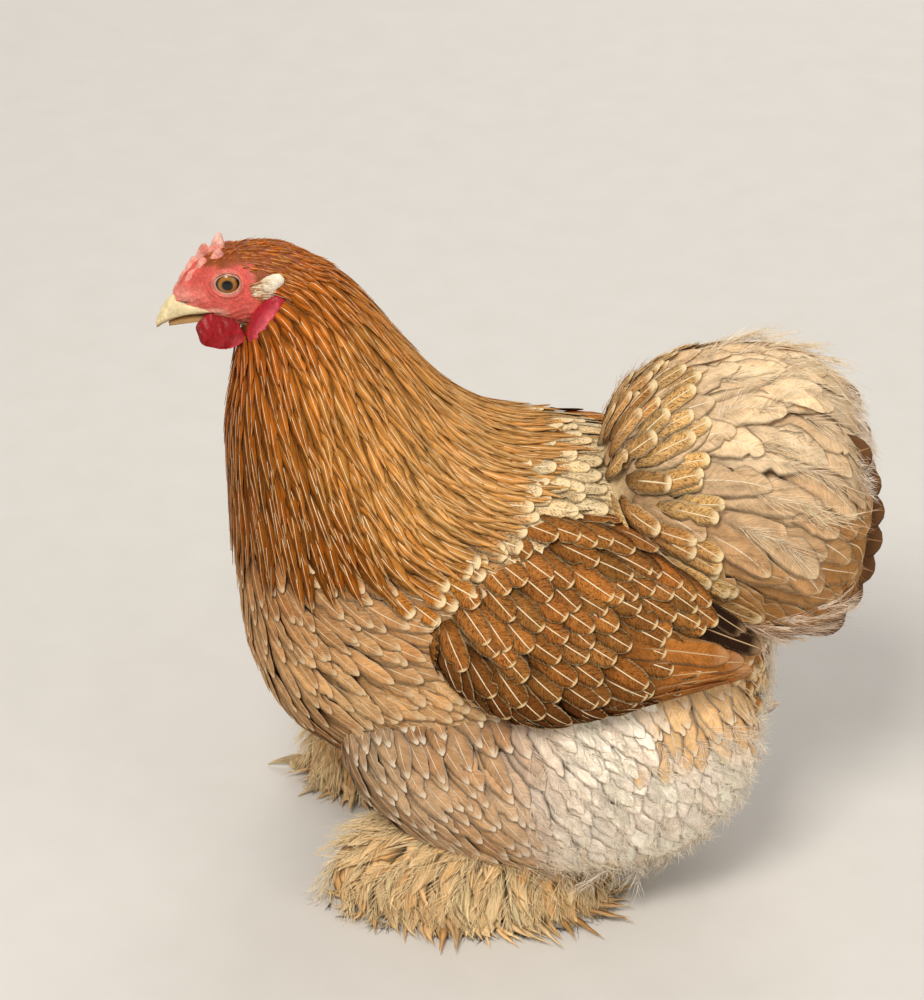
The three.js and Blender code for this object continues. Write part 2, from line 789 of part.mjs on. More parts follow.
function thighFeathers(side) {
  const ribs = thighRibs(side);
  const draw = drawer(71);
  return THIGH_ROWS.flatMap((row, r) =>
    rowAngles(row.count, row.from, row.to, r, draw).map((angle) =>
      vane(ribs, [row.t, side * angle], {
        length: row.length * (1 + 0.08 * draw()),
        half: ((row.to - row.from) / row.count / 2) * 0.92,
        thick: 1.5,
        depth: ROOTED,
        base: 1,
        tip: 4.2,
        shape: POINTED,
      }),
    ),
  );
}

function footFrame(foot, forward, out, up) {
  const turn = (foot.turn * Math.PI) / 180;
  const [c, s] = [Math.cos(turn), Math.sin(turn)];
  return new THREE.Vector3(foot.x - forward * c + out * s, foot.side * foot.y + forward * s + out * c, up);
}

// A toe as a tube with a flat sole and a low swelling at each joint, straight along its own line.
function toe(foot, spec, lift = 0) {
  const turn = (foot.side * spec.turn * Math.PI) / 180;
  const [c, s] = [Math.cos(turn), Math.sin(turn)];
  const { start, taper, levels, sides } = TOE;
  const rings = [];
  for (let i = 0; i <= levels; i++) {
    const share = i / levels;
    const forward = start + (spec.length - start) * share;
    const swell = 1 + TOE.swell * Math.cos(share * 4 * Math.PI);
    const radius = spec.radius * (1 - taper * share) * swell + lift;
    rings.push(
      Array.from({ length: sides }, (_, k) => {
        const angle = (2 * Math.PI * k) / sides;
        const up = Math.max(-lift, spec.radius * (TOE.middle - TOE.fall * share) + Math.cos(angle) * radius);
        const across = Math.sin(angle) * radius;
        return footFrame(foot, forward * c - across * s, forward * s + across * c, up);
      }),
    );
  }
  return stack(rings);
}

// A claw, grown by lift: a curved spike that starts inside the toe's end and points at the floor without
// reaching it.
function claw(foot, spec, lift = 0) {
  const turn = (foot.side * spec.turn * Math.PI) / 180;
  const [c, s] = [Math.cos(turn), Math.sin(turn)];
  const { inside, taper, thin, rise, fall, levels, sides } = CLAW;
  const rings = [];
  for (let i = 0; i < levels; i++) {
    const share = i / levels;
    const forward = spec.length - inside + (CLAW.length + inside) * share;
    const middle = CLAW.radius + rise - fall * share * share;
    const radius = CLAW.radius * (1 - taper * share) + lift;
    rings.push(
      Array.from({ length: sides }, (_, k) => {
        const angle = (2 * Math.PI * k) / sides;
        const across = Math.sin(angle) * radius * thin;
        const up = middle + Math.cos(angle) * radius;
        return footFrame(foot, forward * c - across * s, forward * s + across * c, up);
      }),
    );
  }
  const tip = spec.length + CLAW.length + 2 * lift;
  return stack(rings, null, footFrame(foot, tip * c, tip * s, CLAW.tip));
}

// The pad under the shank that the toes spread from.
function footPad(foot, lift = 0) {
  const { height, widest, curve, squash, levels, sides } = PAD;
  const rings = [];
  for (let i = 0; i <= levels; i++) {
    const share = i / levels;
    const radius = PAD.radius * Math.sqrt(1 - curve * (share - widest) ** 2) + lift;
    const up = (height + 2 * lift) * share - lift;
    rings.push(
      Array.from({ length: sides }, (_, k) => {
        const angle = (2 * Math.PI * k) / sides;
        return footFrame(foot, Math.cos(angle) * radius, Math.sin(angle) * radius * squash, up);
      }),
    );
  }
  return stack(rings);
}

// Ribs of the skirt of feathers round a shank, from inside the thigh down to the floor.
function bootRibs(foot) {
  return BOOT_LEVELS.map(([up, ahead, behind, width, shift]) => [
    foot.x - foot.ahead * ahead,
    up,
    foot.x + foot.behind * behind,
    up,
    width,
    foot.side * (foot.y + shift),
  ]);
}

function bootFeathers(foot) {
  const ribs = bootRibs(foot);
  const draw = drawer(foot.side > 0 ? 89 : 97);
  return BOOT_ROWS.flatMap((row, r) =>
    rowAngles(row.count, -Math.PI, Math.PI, r, draw).map((angle) =>
      vane(ribs, [row.t, angle], {
        length: Math.min(row.length * (1 + 0.1 * draw()), runLength(ribs, row.t, BOOT_LEVELS.length - 1, angle)),
        half: (Math.PI / row.count) * 0.86,
        thick: 1.5,
        depth: BOOT.coreDepth + ROOTED,
        base: 0.2,
        tip: 2.8,
        shape: POINTED,
      }),
    ),
  );
}

// The shank's core: the feathered leg down to its foot pad.
function shankCore(foot) {
  const ribs = bootRibs(foot);
  return ribSolid(ribs, BOOT.levels, BOOT.sides, -BOOT.coreDepth, 0, BOOT.coreEnd);
}

// The nodes.

const headFlesh = ribSolid(headRibs(HEAD_SECTIONS), HEAD.levels, HEAD.sides);
const headGrown = ribSolid(headRibs(HEAD_SECTIONS), HEAD.levels, HEAD.sides, GAP);
const headWhole = keepBehind(union([body, headFlesh]), headCutNormal, headCutAt - GAP / 2);
const headHollows = union([
  ...[-1, 1].flatMap((side) => [eyeball(side, GAP), nostril(side)]),
  upperBill(GAP),
  lowerBill(GAP),
]);
addNode("head", union([headWhole, eyelids(-1), eyelids(1)]).subtract(headHollows), COLOURS.face, 0.6);
addNode("bill_upper", upperBill(0), COLOURS.bill, 0.4);
addNode("bill_lower", lowerBill(0).subtract(upperBill(GAP)), COLOURS.bill, 0.4);

const headClear = union([bodyGrown, headGrown, upperBill(GAP), lowerBill(GAP)]);
addNode("comb", comb().subtract(headClear), COLOURS.comb, 0.5);
for (const [name, side] of [["left", -1], ["right", 1]]) {
  addNode("eye_" + name, eyeball(side, 0), COLOURS.eye, 0.15);
  addNode("wattle_" + name, wattle(side).subtract(headClear), COLOURS.lobe, 0.5);
  addNode("ear_lobe_" + name, earLobe(side).subtract(headClear), COLOURS.lobe, 0.5);
  addNode("ear_" + name, earPad(side).subtract(headClear), COLOURS.ear, 0.8);
}

const neckFlesh = keepAhead(union([neckCore, headFlesh]), headCutNormal, headCutAt + GAP / 2);
const neckEnd = keepBehind(neckFlesh, neckCutNormal, neckCutAt - GAP / 2);
addNode("neck", union([neckEnd, ...hackle()]), COLOURS.hackle);
const saddleFree = union(saddle()).subtract(tailSolid(TAIL.clear));
addNode("torso", union([torsoCore, saddleFree]), COLOURS.torso);

const tailCore = tailSolid((t) => -tailCoreDepth(t));
const tailBlank = union([tailCore, ...cushion(), ...mainFeathers()]);
addNode("tail", tailBlank.subtract(torsoGrown), COLOURS.cushion);

for (const [name, foot] of Object.entries(FEET)) {
  const side = foot.side;
  const wing = union([wingSolid(side, -WING.coreDepth, WING.coreEnd), ...wingFeathers(side)]);
  addNode("wing_" + name, wing.subtract(union([torsoGrown, tailSolid(TAIL.clear)])), COLOURS.wing);
  const bootSpace = ribSolid(bootRibs(foot), BOOT.levels, BOOT.sides, THIGH.bootClear);
  const thigh = union([thighSolid(side, 0), union(thighFeathers(side)).subtract(bootSpace)]);
  addNode("thigh_" + name, thigh.subtract(union([torsoGrown, wingSolid(side, GAP)])), COLOURS.fluff);
  const toesGrown = TOES.map((spec) => toe(foot, spec, GAP));
  const clawsGrown = TOES.map((spec) => claw(foot, spec, GAP));
  const shankClear = union([thighSolid(side, GAP), footPad(foot, GAP), ...toesGrown, ...clawsGrown]);
  addNode("shank_" + name, union([shankCore(foot), ...bootFeathers(foot)]).subtract(shankClear), COLOURS.boot);
  addNode("foot_" + name, footPad(foot), COLOURS.toe);
  TOES.forEach((spec, i) => {
    const clear = union([footPad(foot, GAP), ...toesGrown.slice(0, i)]);
    addNode(`toe_${name}_${spec.name}`, toe(foot, spec).subtract(clear), COLOURS.toe);
    addNode(`claw_${name}_${spec.name}`, claw(foot, spec).subtract(toesGrown[i]), COLOURS.claw, 0.4);
  });
}

export default hen;
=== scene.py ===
import math

import bpy
import numpy as np
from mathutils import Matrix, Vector
from mathutils.bvhtree import BVHTree
from mathutils.kdtree import KDTree


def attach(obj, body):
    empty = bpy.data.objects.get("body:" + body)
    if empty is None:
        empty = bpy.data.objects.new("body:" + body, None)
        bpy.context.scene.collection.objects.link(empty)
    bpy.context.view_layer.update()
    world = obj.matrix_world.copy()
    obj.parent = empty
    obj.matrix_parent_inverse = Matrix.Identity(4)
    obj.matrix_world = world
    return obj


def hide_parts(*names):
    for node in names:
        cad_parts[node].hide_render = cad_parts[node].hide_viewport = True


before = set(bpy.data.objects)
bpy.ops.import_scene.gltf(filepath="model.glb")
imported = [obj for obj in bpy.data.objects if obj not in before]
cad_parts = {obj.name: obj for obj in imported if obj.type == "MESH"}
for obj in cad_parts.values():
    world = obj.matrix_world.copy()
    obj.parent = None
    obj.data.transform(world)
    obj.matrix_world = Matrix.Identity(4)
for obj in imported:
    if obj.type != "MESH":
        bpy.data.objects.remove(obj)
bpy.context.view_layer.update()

# A brahma hen standing still, life size: one skin dressed in modelled feathers, tufts and scales.
# Lengths are millimetres until a mesh is made. The bird faces -X, its left side is -Y and +Z is up.
MM = 0.001
draw = np.random.default_rng(20)
LEFT, RIGHT = -1, 1

# A rib is [front x, front z, back x, back z, half width, centre y, lean].
BODY_RIBS = [
    [-158, 332, -134, 375, 22, 0, 0],
    [-160, 311, -109, 371, 33, 0, 0],
    [-164, 285, -87, 351, 47, 0, 0],
    [-165, 256, -65, 321, 63, 0, 0],
    [-163, 222, -39, 288, 81, 0, 0],
    [-161, 180, -8, 267, 95, 0, 0],
    [-155, 137, 34, 260, 101, 0, 0],
    [-134, 94, 72, 250, 102, 0, 0],
    [-86, 64, 102, 232, 99, 0, 0],
    [-26, 50, 124, 204, 92, 0, 0],
    [44, 50, 140, 170, 78, 0, 0],
    [100, 64, 141, 136, 56, 0, 0],
    [120, 74, 141, 114, 34, 0, 0],
]
TAIL_RIBS = [
    [62, 190, 36, 250, 48, 0, 0],
    [88, 166, 50, 282, 64, 0, 0],
    [118, 150, 77, 306, 70, 0, 0],
    [146, 146, 113, 316, 70, 0, 0],
    [170, 154, 150, 312, 64, 0, 0],
    [186, 176, 176, 293, 50, 0, 0],
    [193, 208, 189, 262, 30, 0, 0],
    [196, 222, 194, 247, 14, 0, 0],
    [197, 232, 196.5, 237, 3, 0, 0],
]
WING_RIBS = [
    [-60, 206, -50, 224, 6, 84, 4],
    [-44, 174, -28, 246, 22, 80, 20],
    [-6, 147, 12, 250, 27, 80, 24],
    [40, 149, 52, 242, 26, 80, 23],
    [84, 158, 88, 222, 19, 80, 14],
    [116, 165, 114, 198, 10, 81, 7],
    [137, 167, 134, 180, 4, 80, 2],
]
THIGH_RIBS = [
    [-40, 186, 56, 192, 20, 50, 0],
    [-80, 158, 104, 162, 34, 58, 0],
    [-99, 122, 130, 124, 47, 63, 0],
    [-98, 88, 128, 84, 48, 64, 0],
    [-80, 60, 110, 54, 42, 64, 0],
    [-54, 42, 84, 36, 30, 65, 0],
    [-22, 34, 52, 30, 15, 66, 0],
]
RIGHT_THIGH_SHIFT = -14

# The head: its point between the eyes' centres, and its pitch.
HEAD_AT = (-159, 0, 367)
HEAD_PITCH = math.radians(10)
# A head section is [forward, top, bottom, half width].
HEAD_SECTIONS = [
    [-42, 2, -34, 18],
    [-30, 10, -34, 22],
    [-16, 14, -34, 21.5],
    [-3, 14.5, -31, 19.5],
    [9, 13, -26.5, 16.5],
    [18, 8.5, -22, 12.6],
    [25, 2.5, -19.5, 9],
    [31, -5.5, -17.5, 5.4],
]
UPPER_BILL = [
    [12, -13.5, -18.4, 14],
    [18, -11, -19.4, 13],
    [25, -7.8, -20.4, 10.6],
    [32, -7.6, -21.6, 8],
    [37.5, -11, -23, 5.8],
    [42.5, -16.6, -25, 3.3],
    [46, -22.5, -26.8, 1],
]
LOWER_BILL = [
    [12, -18.4, -24, 12],
    [18, -19.2, -24.8, 10.8],
    [25, -20.2, -25.6, 8.8],
    [33, -21.8, -26.4, 5.6],
    [39, -24, -27, 2.6],
]
# A comb lump is [forward, up, length, thickness].
COMB_ROW = [
    [30, -5.5, 4.5, 3.4],
    [25.5, -0.5, 5.5, 3.9],
    [20, 5, 7, 4.3],
    [13.5, 9.5, 9.5, 4.5],
    [5, 12, 12, 4.6],
]
COMB_SIDE = {"out": 5.4, "share": 0.62, "first": 2}
EYE = {"forward": 0, "up": 1, "out": 11.2, "radius": 9, "half_length": 7, "half_height": 5.7}

FEET = {
    LEFT: {"x": 18, "y": 62, "turn": -4, "ahead": 134, "behind": 38},
    RIGHT: {"x": -78, "y": 58, "turn": 4, "ahead": 50, "behind": 42},
}
# A toe is name: (turn in degrees, length, radius).
TOES = {"inner": (-30, 46, 5.4), "middle": (2, 60, 6), "outer": (32, 47, 5.4), "back": (178, 34, 5)}
CLAW = {"length": 14, "radius": 3.1}
# A boot level is [height, share ahead, share behind, half width, outward shift].
BOOT_LEVELS = [
    [80, 0.24, 0.3, 18, 0],
    [57, 0.6, 0.46, 26, 1],
    [37, 0.86, 0.62, 32, 2],
    [16, 0.94, 0.78, 36, 3],
    [3, 0.9, 0.86, 37, 4],
]

# The camera looks level with the bird's left side from 30 degrees above the horizon.
VIEW = {"target": (-33.6, 0, 224), "distance": 2000, "elevation": math.radians(30), "lens": 128.56}


def colour(code):
    """Linear red, green and blue of a colour given as six hexadecimal digits."""
    parts = [int(code[k : k + 2], 16) / 255 for k in (0, 2, 4)]
    return np.array([c / 12.92 if c < 0.04045 else ((c + 0.055) / 1.055) ** 2.4 for c in parts])


def clamp(value):
    return np.clip(value, 0, 1)


def smooth(value, low, high):
    """0 up to low, 1 from high, and a soft step between, also where high is the lower one."""
    f = clamp((value - low) / (high - low))
    return f * f * (3 - 2 * f)


def unit(v):
    return v / np.maximum(np.linalg.norm(v, axis=-1, keepdims=True), 1e-9)


def blend(a, b, share):
    """Colours from a to b, one for each share, which is held between 0 and 1."""
    return a + (b - a) * np.asarray(clamp(share))[..., None]


def hump(value, middle=0, width=1):
    """1 at the middle, falling off softly over the width."""
    return np.exp(-(((value - middle) / width) ** 2))


def turns(count):
    """Angles spread evenly once round."""
    return np.linspace(0, 2 * math.pi, count, endpoint=False)


def grid(rows, sides, last, first=0):
    """The t and angle of each point of a mesh of rows and sides, row by row."""
    return np.repeat(np.linspace(first, last, rows), sides), np.tile(turns(sides), rows)


class Loft:
    """A rounded form through ribs: t counts the ribs, and the angle is 0 at the back and pi in front."""

    STEP = 0.03

    def __init__(self, ribs, side=1, shift=0, tile=0):
        self.ribs = np.array(ribs, float)
        self.ribs[:, [0, 2]] += shift
        self.ribs[:, 5:] *= side
        self.last = len(ribs) - 1
        self.tile = tile

    def row(self, t):
        """The rib at t, on a smooth curve through the given ones."""
        i = np.minimum(t.astype(int), self.last - 1)
        f = (t - i)[:, None]
        a, b, c, d = (self.ribs[np.clip(i + k, 0, self.last)] for k in (-1, 0, 1, 2))
        return b + 0.5 * f * (c - a + f * (2 * a - 5 * b + 4 * c - d + f * (3 * (b - c) + d - a)))

    def inside(self, t, angle):
        r = self.row(t)
        c = np.cos(angle) / 2
        x = (r[:, 0] + r[:, 2]) / 2 + c * (r[:, 2] - r[:, 0])
        y = r[:, 5] + np.sin(angle) * r[:, 4] - 2 * c * r[:, 6]
        z = (r[:, 1] + r[:, 3]) / 2 + c * (r[:, 3] - r[:, 1])
        return np.stack([x, y, z], 1)

    def point(self, t, angle):
        """A point of the form. Past either end it goes on in a straight line."""
        t, angle = np.broadcast_arrays(np.asarray(t, float), np.asarray(angle, float))
        near = np.clip(t, 0, self.last)
        p = self.inside(near, angle)
        over = t - near
        if np.any(over):
            back = np.clip(near - np.sign(over) * self.STEP, 0, self.last)
            slope = (p - self.inside(back, angle)) / self.STEP
            p = p + slope * np.abs(over)[:, None]
        return p

    def lie(self, t, angle):
        """Point, unit way along the ribs, unit way round them, outward normal and the two speeds."""
        h = self.STEP
        run = (self.point(t + h, angle) - self.point(t - h, angle)) / (2 * h)
        turn = (self.point(t, angle + h) - self.point(t, angle - h)) / (2 * h)
        p = self.point(t, angle)
        r = self.row(np.clip(t, 0, self.last))
        centre = np.stack([(r[:, 0] + r[:, 2]) / 2, r[:, 5], (r[:, 1] + r[:, 3]) / 2], 1)
        out = unit(np.cross(turn, run))
        out = out * np.where(np.sum(out * (p - centre), 1) < 0, -1, 1)[:, None]
        along_speed = np.maximum(np.linalg.norm(run, axis=1), 10)
        round_speed = np.maximum(np.linalg.norm(turn, axis=1), 4)
        return p, unit(run), unit(turn), out, along_speed, round_speed


def head_point(forward, out, up):
    c, s = math.cos(HEAD_PITCH), math.sin(HEAD_PITCH)
    forward, out, up = np.broadcast_arrays(*(np.asarray(v, float) for v in (forward, out, up)))
    x = HEAD_AT[0] - forward * c - up * s
    z = HEAD_AT[2] - forward * s + up * c
    return np.stack([x, HEAD_AT[1] + out, z], -1)


def head_place(points):
    """Forward, out and up of points, in the head's own frame."""
    c, s = math.cos(HEAD_PITCH), math.sin(HEAD_PITCH)
    x, z = points[..., 0] - HEAD_AT[0], points[..., 2] - HEAD_AT[2]
    return -x * c - z * s, points[..., 1] - HEAD_AT[1], -x * s + z * c


def head_ribs(sections):
    ribs = []
    for forward, top, bottom, width in sections:
        low, high = head_point(forward, 0, bottom), head_point(forward, 0, top)
        ribs.append([low[0], low[2], high[0], high[2], width, 0, 0])
    return ribs


def boot_ribs(side):
    foot = FEET[side]
    ribs = []
    for up, ahead, behind, width, shift in BOOT_LEVELS:
        front, back = foot["x"] - foot["ahead"] * ahead, foot["x"] + foot["behind"] * behind
        ribs.append([front, up, back, up, width, foot["y"] + shift, 0])
    return ribs


body = Loft(BODY_RIBS, tile=0)
tail = Loft(TAIL_RIBS, tile=1)
head = Loft(head_ribs(HEAD_SECTIONS), tile=2)
wings = {side: Loft(WING_RIBS, side, tile=3 + (side > 0)) for side in (LEFT, RIGHT)}
thighs = {
    LEFT: Loft(THIGH_RIBS, LEFT, tile=5),
    RIGHT: Loft(THIGH_RIBS, RIGHT, RIGHT_THIGH_SHIFT, tile=6),
}
boots = {side: Loft(boot_ribs(side), side, tile=7 + (side > 0)) for side in (LEFT, RIGHT)}
TILES = 3


# Meshes

def add_mesh(name, points, triangles, material, attributes, uv=None):
    """A smooth mesh of points in millimetres."""
    mesh = bpy.data.meshes.new(name)
    mesh.vertices.add(len(points))
    mesh.vertices.foreach_set("co", (points * MM).astype(np.float32).ravel())
    mesh.loops.add(triangles.size)
    mesh.loops.foreach_set("vertex_index", triangles.astype(np.int32).ravel())
    mesh.polygons.add(len(triangles))
    mesh.polygons.foreach_set("loop_start", np.arange(0, triangles.size, 3, dtype=np.int32))
    mesh.update(calc_edges=True)
    mesh.shade_smooth()
    for key, values in attributes.items():
        layer = mesh.attributes.new(key, "FLOAT_VECTOR", "POINT")
        layer.data.foreach_set("vector", values.astype(np.float32).ravel())
    if uv is not None:
        layer = mesh.uv_layers.new(name="OFBake")
        layer.data.foreach_set("uv", uv[triangles.ravel()].astype(np.float32).ravel())
    mesh.materials.append(material)
    piece = bpy.data.objects.new(name, mesh)
    bpy.context.scene.collection.objects.link(piece)
    return piece


def add_piece(name, shape, material, slot, *nodes, uv=None, **attributes):
    """A mesh that rides on the one body, and stands for the nodes."""
    piece = add_mesh(name, *shape, material, attributes, uv)
    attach(piece, "root")
    if nodes:
        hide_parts(*nodes)


def tube_triangles(rows, sides, closed_ends=True):
    """Triangles of a closed tube of rows by sides points, numbered row by row, then its two end points."""
    i, k = np.meshgrid(np.arange(rows - 1), np.arange(sides), indexing="ij")
    a = (i * sides + k).ravel()
    b = (i * sides + (k + 1) % sides).ravel()
    c, d = b + sides, a + sides
    parts = [np.stack([a, b, c], 1), np.stack([a, c, d], 1)]
    if closed_ends:
        k = np.arange(sides)
        n = (k + 1) % sides
        end = (rows - 1) * sides
        parts.append(np.stack([n, k, np.full(sides, rows * sides)], 1))
        parts.append(np.stack([end + k, end + n, np.full(sides, rows * sides + 1)], 1))
    return np.concatenate(parts)


def vane_triangles(rows, count):
    """A vane's skin: each row has one point below and the others side by side above it."""
    last, tip = count - 1, (rows - 1) * count
    caps = [[k + 1, k, last] for k in range(last - 1)]
    caps += [[tip + k, tip + k + 1, tip + last] for k in range(last - 1)]
    return np.concatenate([tube_triangles(rows, count, closed_ends=False), np.array(caps)])


def tube(rings):
    """Points and triangles of a closed form from rings of shape (rows, sides, 3)."""
    rows, sides = rings.shape[:2]
    ends = np.stack([rings[0].mean(0), rings[-1].mean(0)])
    return np.concatenate([rings.reshape(-1, 3), ends]), tube_triangles(rows, sides)


def loft_rings(surface, rows, sides, inset, end=None):
    p, _, _, out, _, _ = surface.lie(*grid(rows, sides, end or surface.last))
    return (p - out * inset).reshape(rows, sides, 3)


def joined(parts):
    """Several (points, triangles) as one."""
    points, triangles, count = [], [], 0
    for p, tri in parts:
        points.append(p)
        triangles.append(tri + count)
        count += len(p)
    return np.concatenate(points), np.concatenate(triangles)


def melted(points, triangles, voxel, smoothing):
    """One closed surface round several that cross, from a voxel remesh and a few smoothing steps."""
    scratch = add_mesh("scratch", points, triangles, bpy.data.materials.new("scratch"), {})
    remesh = scratch.modifiers.new("remesh", "REMESH")
    remesh.mode = "VOXEL"
    remesh.voxel_size = voxel * MM
    soften = scratch.modifiers.new("soften", "SMOOTH")
    soften.factor = 0.5
    soften.iterations = smoothing
    graph = bpy.context.evaluated_depsgraph_get()
    mesh = bpy.data.meshes.new_from_object(scratch.evaluated_get(graph))
    mesh.calc_loop_triangles()
    p = np.empty(len(mesh.vertices) * 3, np.float32)
    mesh.vertices.foreach_get("co", p)
    tri = np.empty(len(mesh.loop_triangles) * 3, np.int32)
    mesh.loop_triangles.foreach_get("vertices", tri)
    bpy.data.objects.remove(scratch)
    return p.reshape(-1, 3) / MM, tri.reshape(-1, 3)


# Materials

class Shade:
    """A node material, written as a chain of calls."""

    def __init__(self, name):
        self.material = bpy.data.materials.new(name)
        self.material.use_nodes = True
        self.tree = self.material.node_tree
        self.tree.nodes.clear()

    def put(self, kind, inputs, output=0, **settings):
        node = self.tree.nodes.new(kind)
        for key, value in settings.items():
            setattr(node, key, value)
        for key, value in inputs.items():
            socket = node.inputs[key]
            if isinstance(value, bpy.types.NodeSocket):
                self.tree.links.new(value, socket)
            elif isinstance(value, np.ndarray):
                socket.default_value = (*value, 1)
            else:
                socket.default_value = value
        return node.outputs[output]

    def attribute(self, name, output="Vector"):
        return self.put("ShaderNodeAttribute", {}, output, attribute_name=name)

    def split(self, vector):
        return [self.put("ShaderNodeSeparateXYZ", {0: vector}, k) for k in range(3)]

    def vector(self, x, y, z):
        return self.put("ShaderNodeCombineXYZ", {0: x, 1: y, 2: z})

    def math(self, operation, a, b=0.0):
        return self.put("ShaderNodeMath", {0: a, 1: b}, operation=operation)

    def times(self, a, b):
        return self.math("MULTIPLY", a, b)

    def step(self, value, low, high, start=0.0, end=1.0):
        inputs = {0: value, 1: low, 2: high, 3: start, 4: end}
        return self.put("ShaderNodeMapRange", inputs, interpolation_type="SMOOTHSTEP")

    def mix(self, share, a, b):
        return self.put("ShaderNodeMix", {0: share, 6: a, 7: b}, 2, data_type="RGBA")

    def noise(self, vector, scale, detail=3.0, roughness=0.5):
        inputs = {"Vector": vector, "Scale": scale, "Detail": detail, "Roughness": roughness}
        return self.put("ShaderNodeTexNoise", inputs, 0)

    def value(self, tint, amount):
        return self.put("ShaderNodeHueSaturation", {"Color": tint, "Value": amount})

    def uneven(self, tint, pattern, low, high):
        """The colour times low to high, as a noise pattern runs."""
        return self.value(tint, self.step(pattern, 0.3, 0.7, low, high))

    def place(self):
        return self.put("ShaderNodeTexCoord", {}, "Object")

    def bump(self, height, distance, strength=1.0):
        inputs = {"Height": height, "Distance": distance * MM, "Strength": strength}
        return self.put("ShaderNodeBump", inputs)

    def finish(self, tint, normal, **constants):
        """The surface itself. Constants are set on the shader's own sockets."""
        inputs = {"Base Color": tint, "Normal": normal}
        inputs.update({key.replace("_", " "): value for key, value in constants.items()})
        surface = self.put("ShaderNodeBsdfPrincipled", inputs)
        output = self.tree.nodes.new("ShaderNodeOutputMaterial")
        self.tree.links.new(surface, output.inputs["Surface"])
        return self.material


def feather_shade(name, shaft, edge, look):
    """Vanes with a pale shaft, fine slanted barbs, a paler rim, dark specks where the look has them, and
    painted shade toward the root.
    """
    s = Shade(name)
    along, across, _ = s.split(s.attribute("vane"))
    mm_along, mm_across, chance = s.split(s.attribute("barb"))
    away = s.math("ABSOLUTE", across)
    mm_away = s.math("ABSOLUTE", mm_across)
    slant = s.math("SUBTRACT", mm_along, s.times(mm_away, 0.9))
    if look.get("hairy"):
        barbs = s.noise(s.vector(s.times(mm_along, 0.07), mm_across, chance), 1.2, 3.0)
    else:
        barbs = s.noise(s.vector(slant, s.times(mm_across, 0.16), chance), 1.5, 2.0)
    patches = s.noise(s.vector(mm_along, mm_across, chance), 0.12, 2.0)
    tint = s.uneven(s.attribute("coat"), barbs, look.get("barb_low", 0.72), 1.22)
    tint = s.uneven(tint, patches, 0.84, 1.14)
    if "pepper" in look:
        speck = s.noise(s.vector(s.times(slant, 1.4), mm_across, chance), 0.75, 4.0, 0.7)
        share = s.step(speck, 0.5, 0.6, 0.0, look["pepper_amount"])
        tint = s.mix(share, tint, look["pepper"])
    fray = s.math("ADD", away, s.times(s.math("SUBTRACT", barbs, 0.5), 0.35))
    rim = s.step(fray, look.get("edge_from", 0.72), 1.0, 0.0, look.get("edge", 0.6))
    tip = s.step(along, look.get("tip_from", 0.84), 0.98, 0.0, look.get("tip", 0.7))
    tint = s.mix(s.math("MAXIMUM", rim, tip), tint, edge)
    width = look.get("shaft_width", 0.09)
    quill = s.step(away, width * 0.45, width, look.get("shaft", 0.9), 0.0)
    quill = s.times(quill, s.step(along, 0.25, 0.5))
    tint = s.mix(quill, tint, shaft)
    # Painted shade: each vane darkens toward its root, where the feathers laid over it would shade it.
    tint = s.value(tint, s.step(along, 0.1, look.get("shade_to", 0.62), look.get("root", 0.35), 1.0))
    height = s.math("ADD", s.times(barbs, 0.8), quill)
    bump = s.bump(height, look.get("bump", 0.35), 0.7)
    return s.finish(tint, bump, Roughness=0.82, Specular_IOR_Level=0.05)


def strand_shade(name):
    """Soft loose barbs, with painted shade at their bases that gives way to paler tips."""
    s = Shade(name)
    along, _, _ = s.split(s.attribute("vane"))
    mm_along, _, chance = s.split(s.attribute("barb"))
    mottle = s.noise(s.vector(mm_along, 0.0, chance), 0.4, 2.0)
    tint = s.uneven(s.attribute("coat"), mottle, 0.85, 1.12)
    # Painted shade toward each strand's base, paler toward its tip.
    tint = s.value(tint, s.step(along, 0.0, 0.5, 0.85, 1.08))
    return s.finish(tint, s.bump(mottle, 0.1), Roughness=0.85, Specular_IOR_Level=0.05, Sheen_Weight=0.05)


def skin_shade():
    """Fine down over soft patches, in the colours of the coat above it."""
    s = Shade("plumage_skin")
    place = s.place()
    down = s.noise(place, 260.0, 4.0, 0.7)
    patches = s.noise(place, 40.0, 2.0)
    tint = s.uneven(s.attribute("coat"), patches, 0.7, 0.95)
    tint = s.uneven(tint, down, 0.8, 1.15)
    return s.finish(tint, s.bump(down, 1.5), Roughness=0.9, Specular_IOR_Level=0.05)


def flesh_shade(name, rough, grain, depth, shine=0.4):
    """Bare living skin: fine pimples over soft patches, with a little light passing through."""
    s = Shade(name)
    place = s.place()
    pimples = s.put("ShaderNodeTexVoronoi", {"Vector": place, "Scale": grain, "Randomness": 0.9})
    patches = s.noise(place, 220.0, 4.0, 0.6)
    fine = s.noise(place, grain * 1.8, 3.0, 0.6)
    tint = s.uneven(s.attribute("coat"), patches, 0.8, 1.16)
    tint = s.value(tint, s.step(pimples, 0.1, 0.75, 1.12, 0.84))
    height = s.math("SUBTRACT", s.times(fine, 0.6), pimples)
    return s.finish(
        tint,
        s.bump(height, depth, 0.8),
        Roughness=rough,
        Specular_IOR_Level=shine,
        Subsurface_Weight=0.18,
        Subsurface_Radius=(0.004, 0.0012, 0.0008),
        Subsurface_Scale=0.5,
    )


def horn_shade(name, rough, streak, depth):
    """Horn with fine streaks that run with its length."""
    s = Shade(name)
    mm_along, turn, chance = s.split(s.attribute("barb"))
    lines = s.noise(s.vector(s.times(mm_along, 0.08), turn, chance), streak, 4.0, 0.6)
    wear = s.noise(s.place(), 500.0, 4.0, 0.65)
    tint = s.uneven(s.attribute("coat"), lines, 0.78, 1.14)
    tint = s.uneven(tint, wear, 0.86, 1.1)
    height = s.math("ADD", s.times(lines, 0.7), s.times(wear, 0.5))
    return s.finish(tint, s.bump(height, depth, 0.6), Roughness=rough, Specular_IOR_Level=0.45)


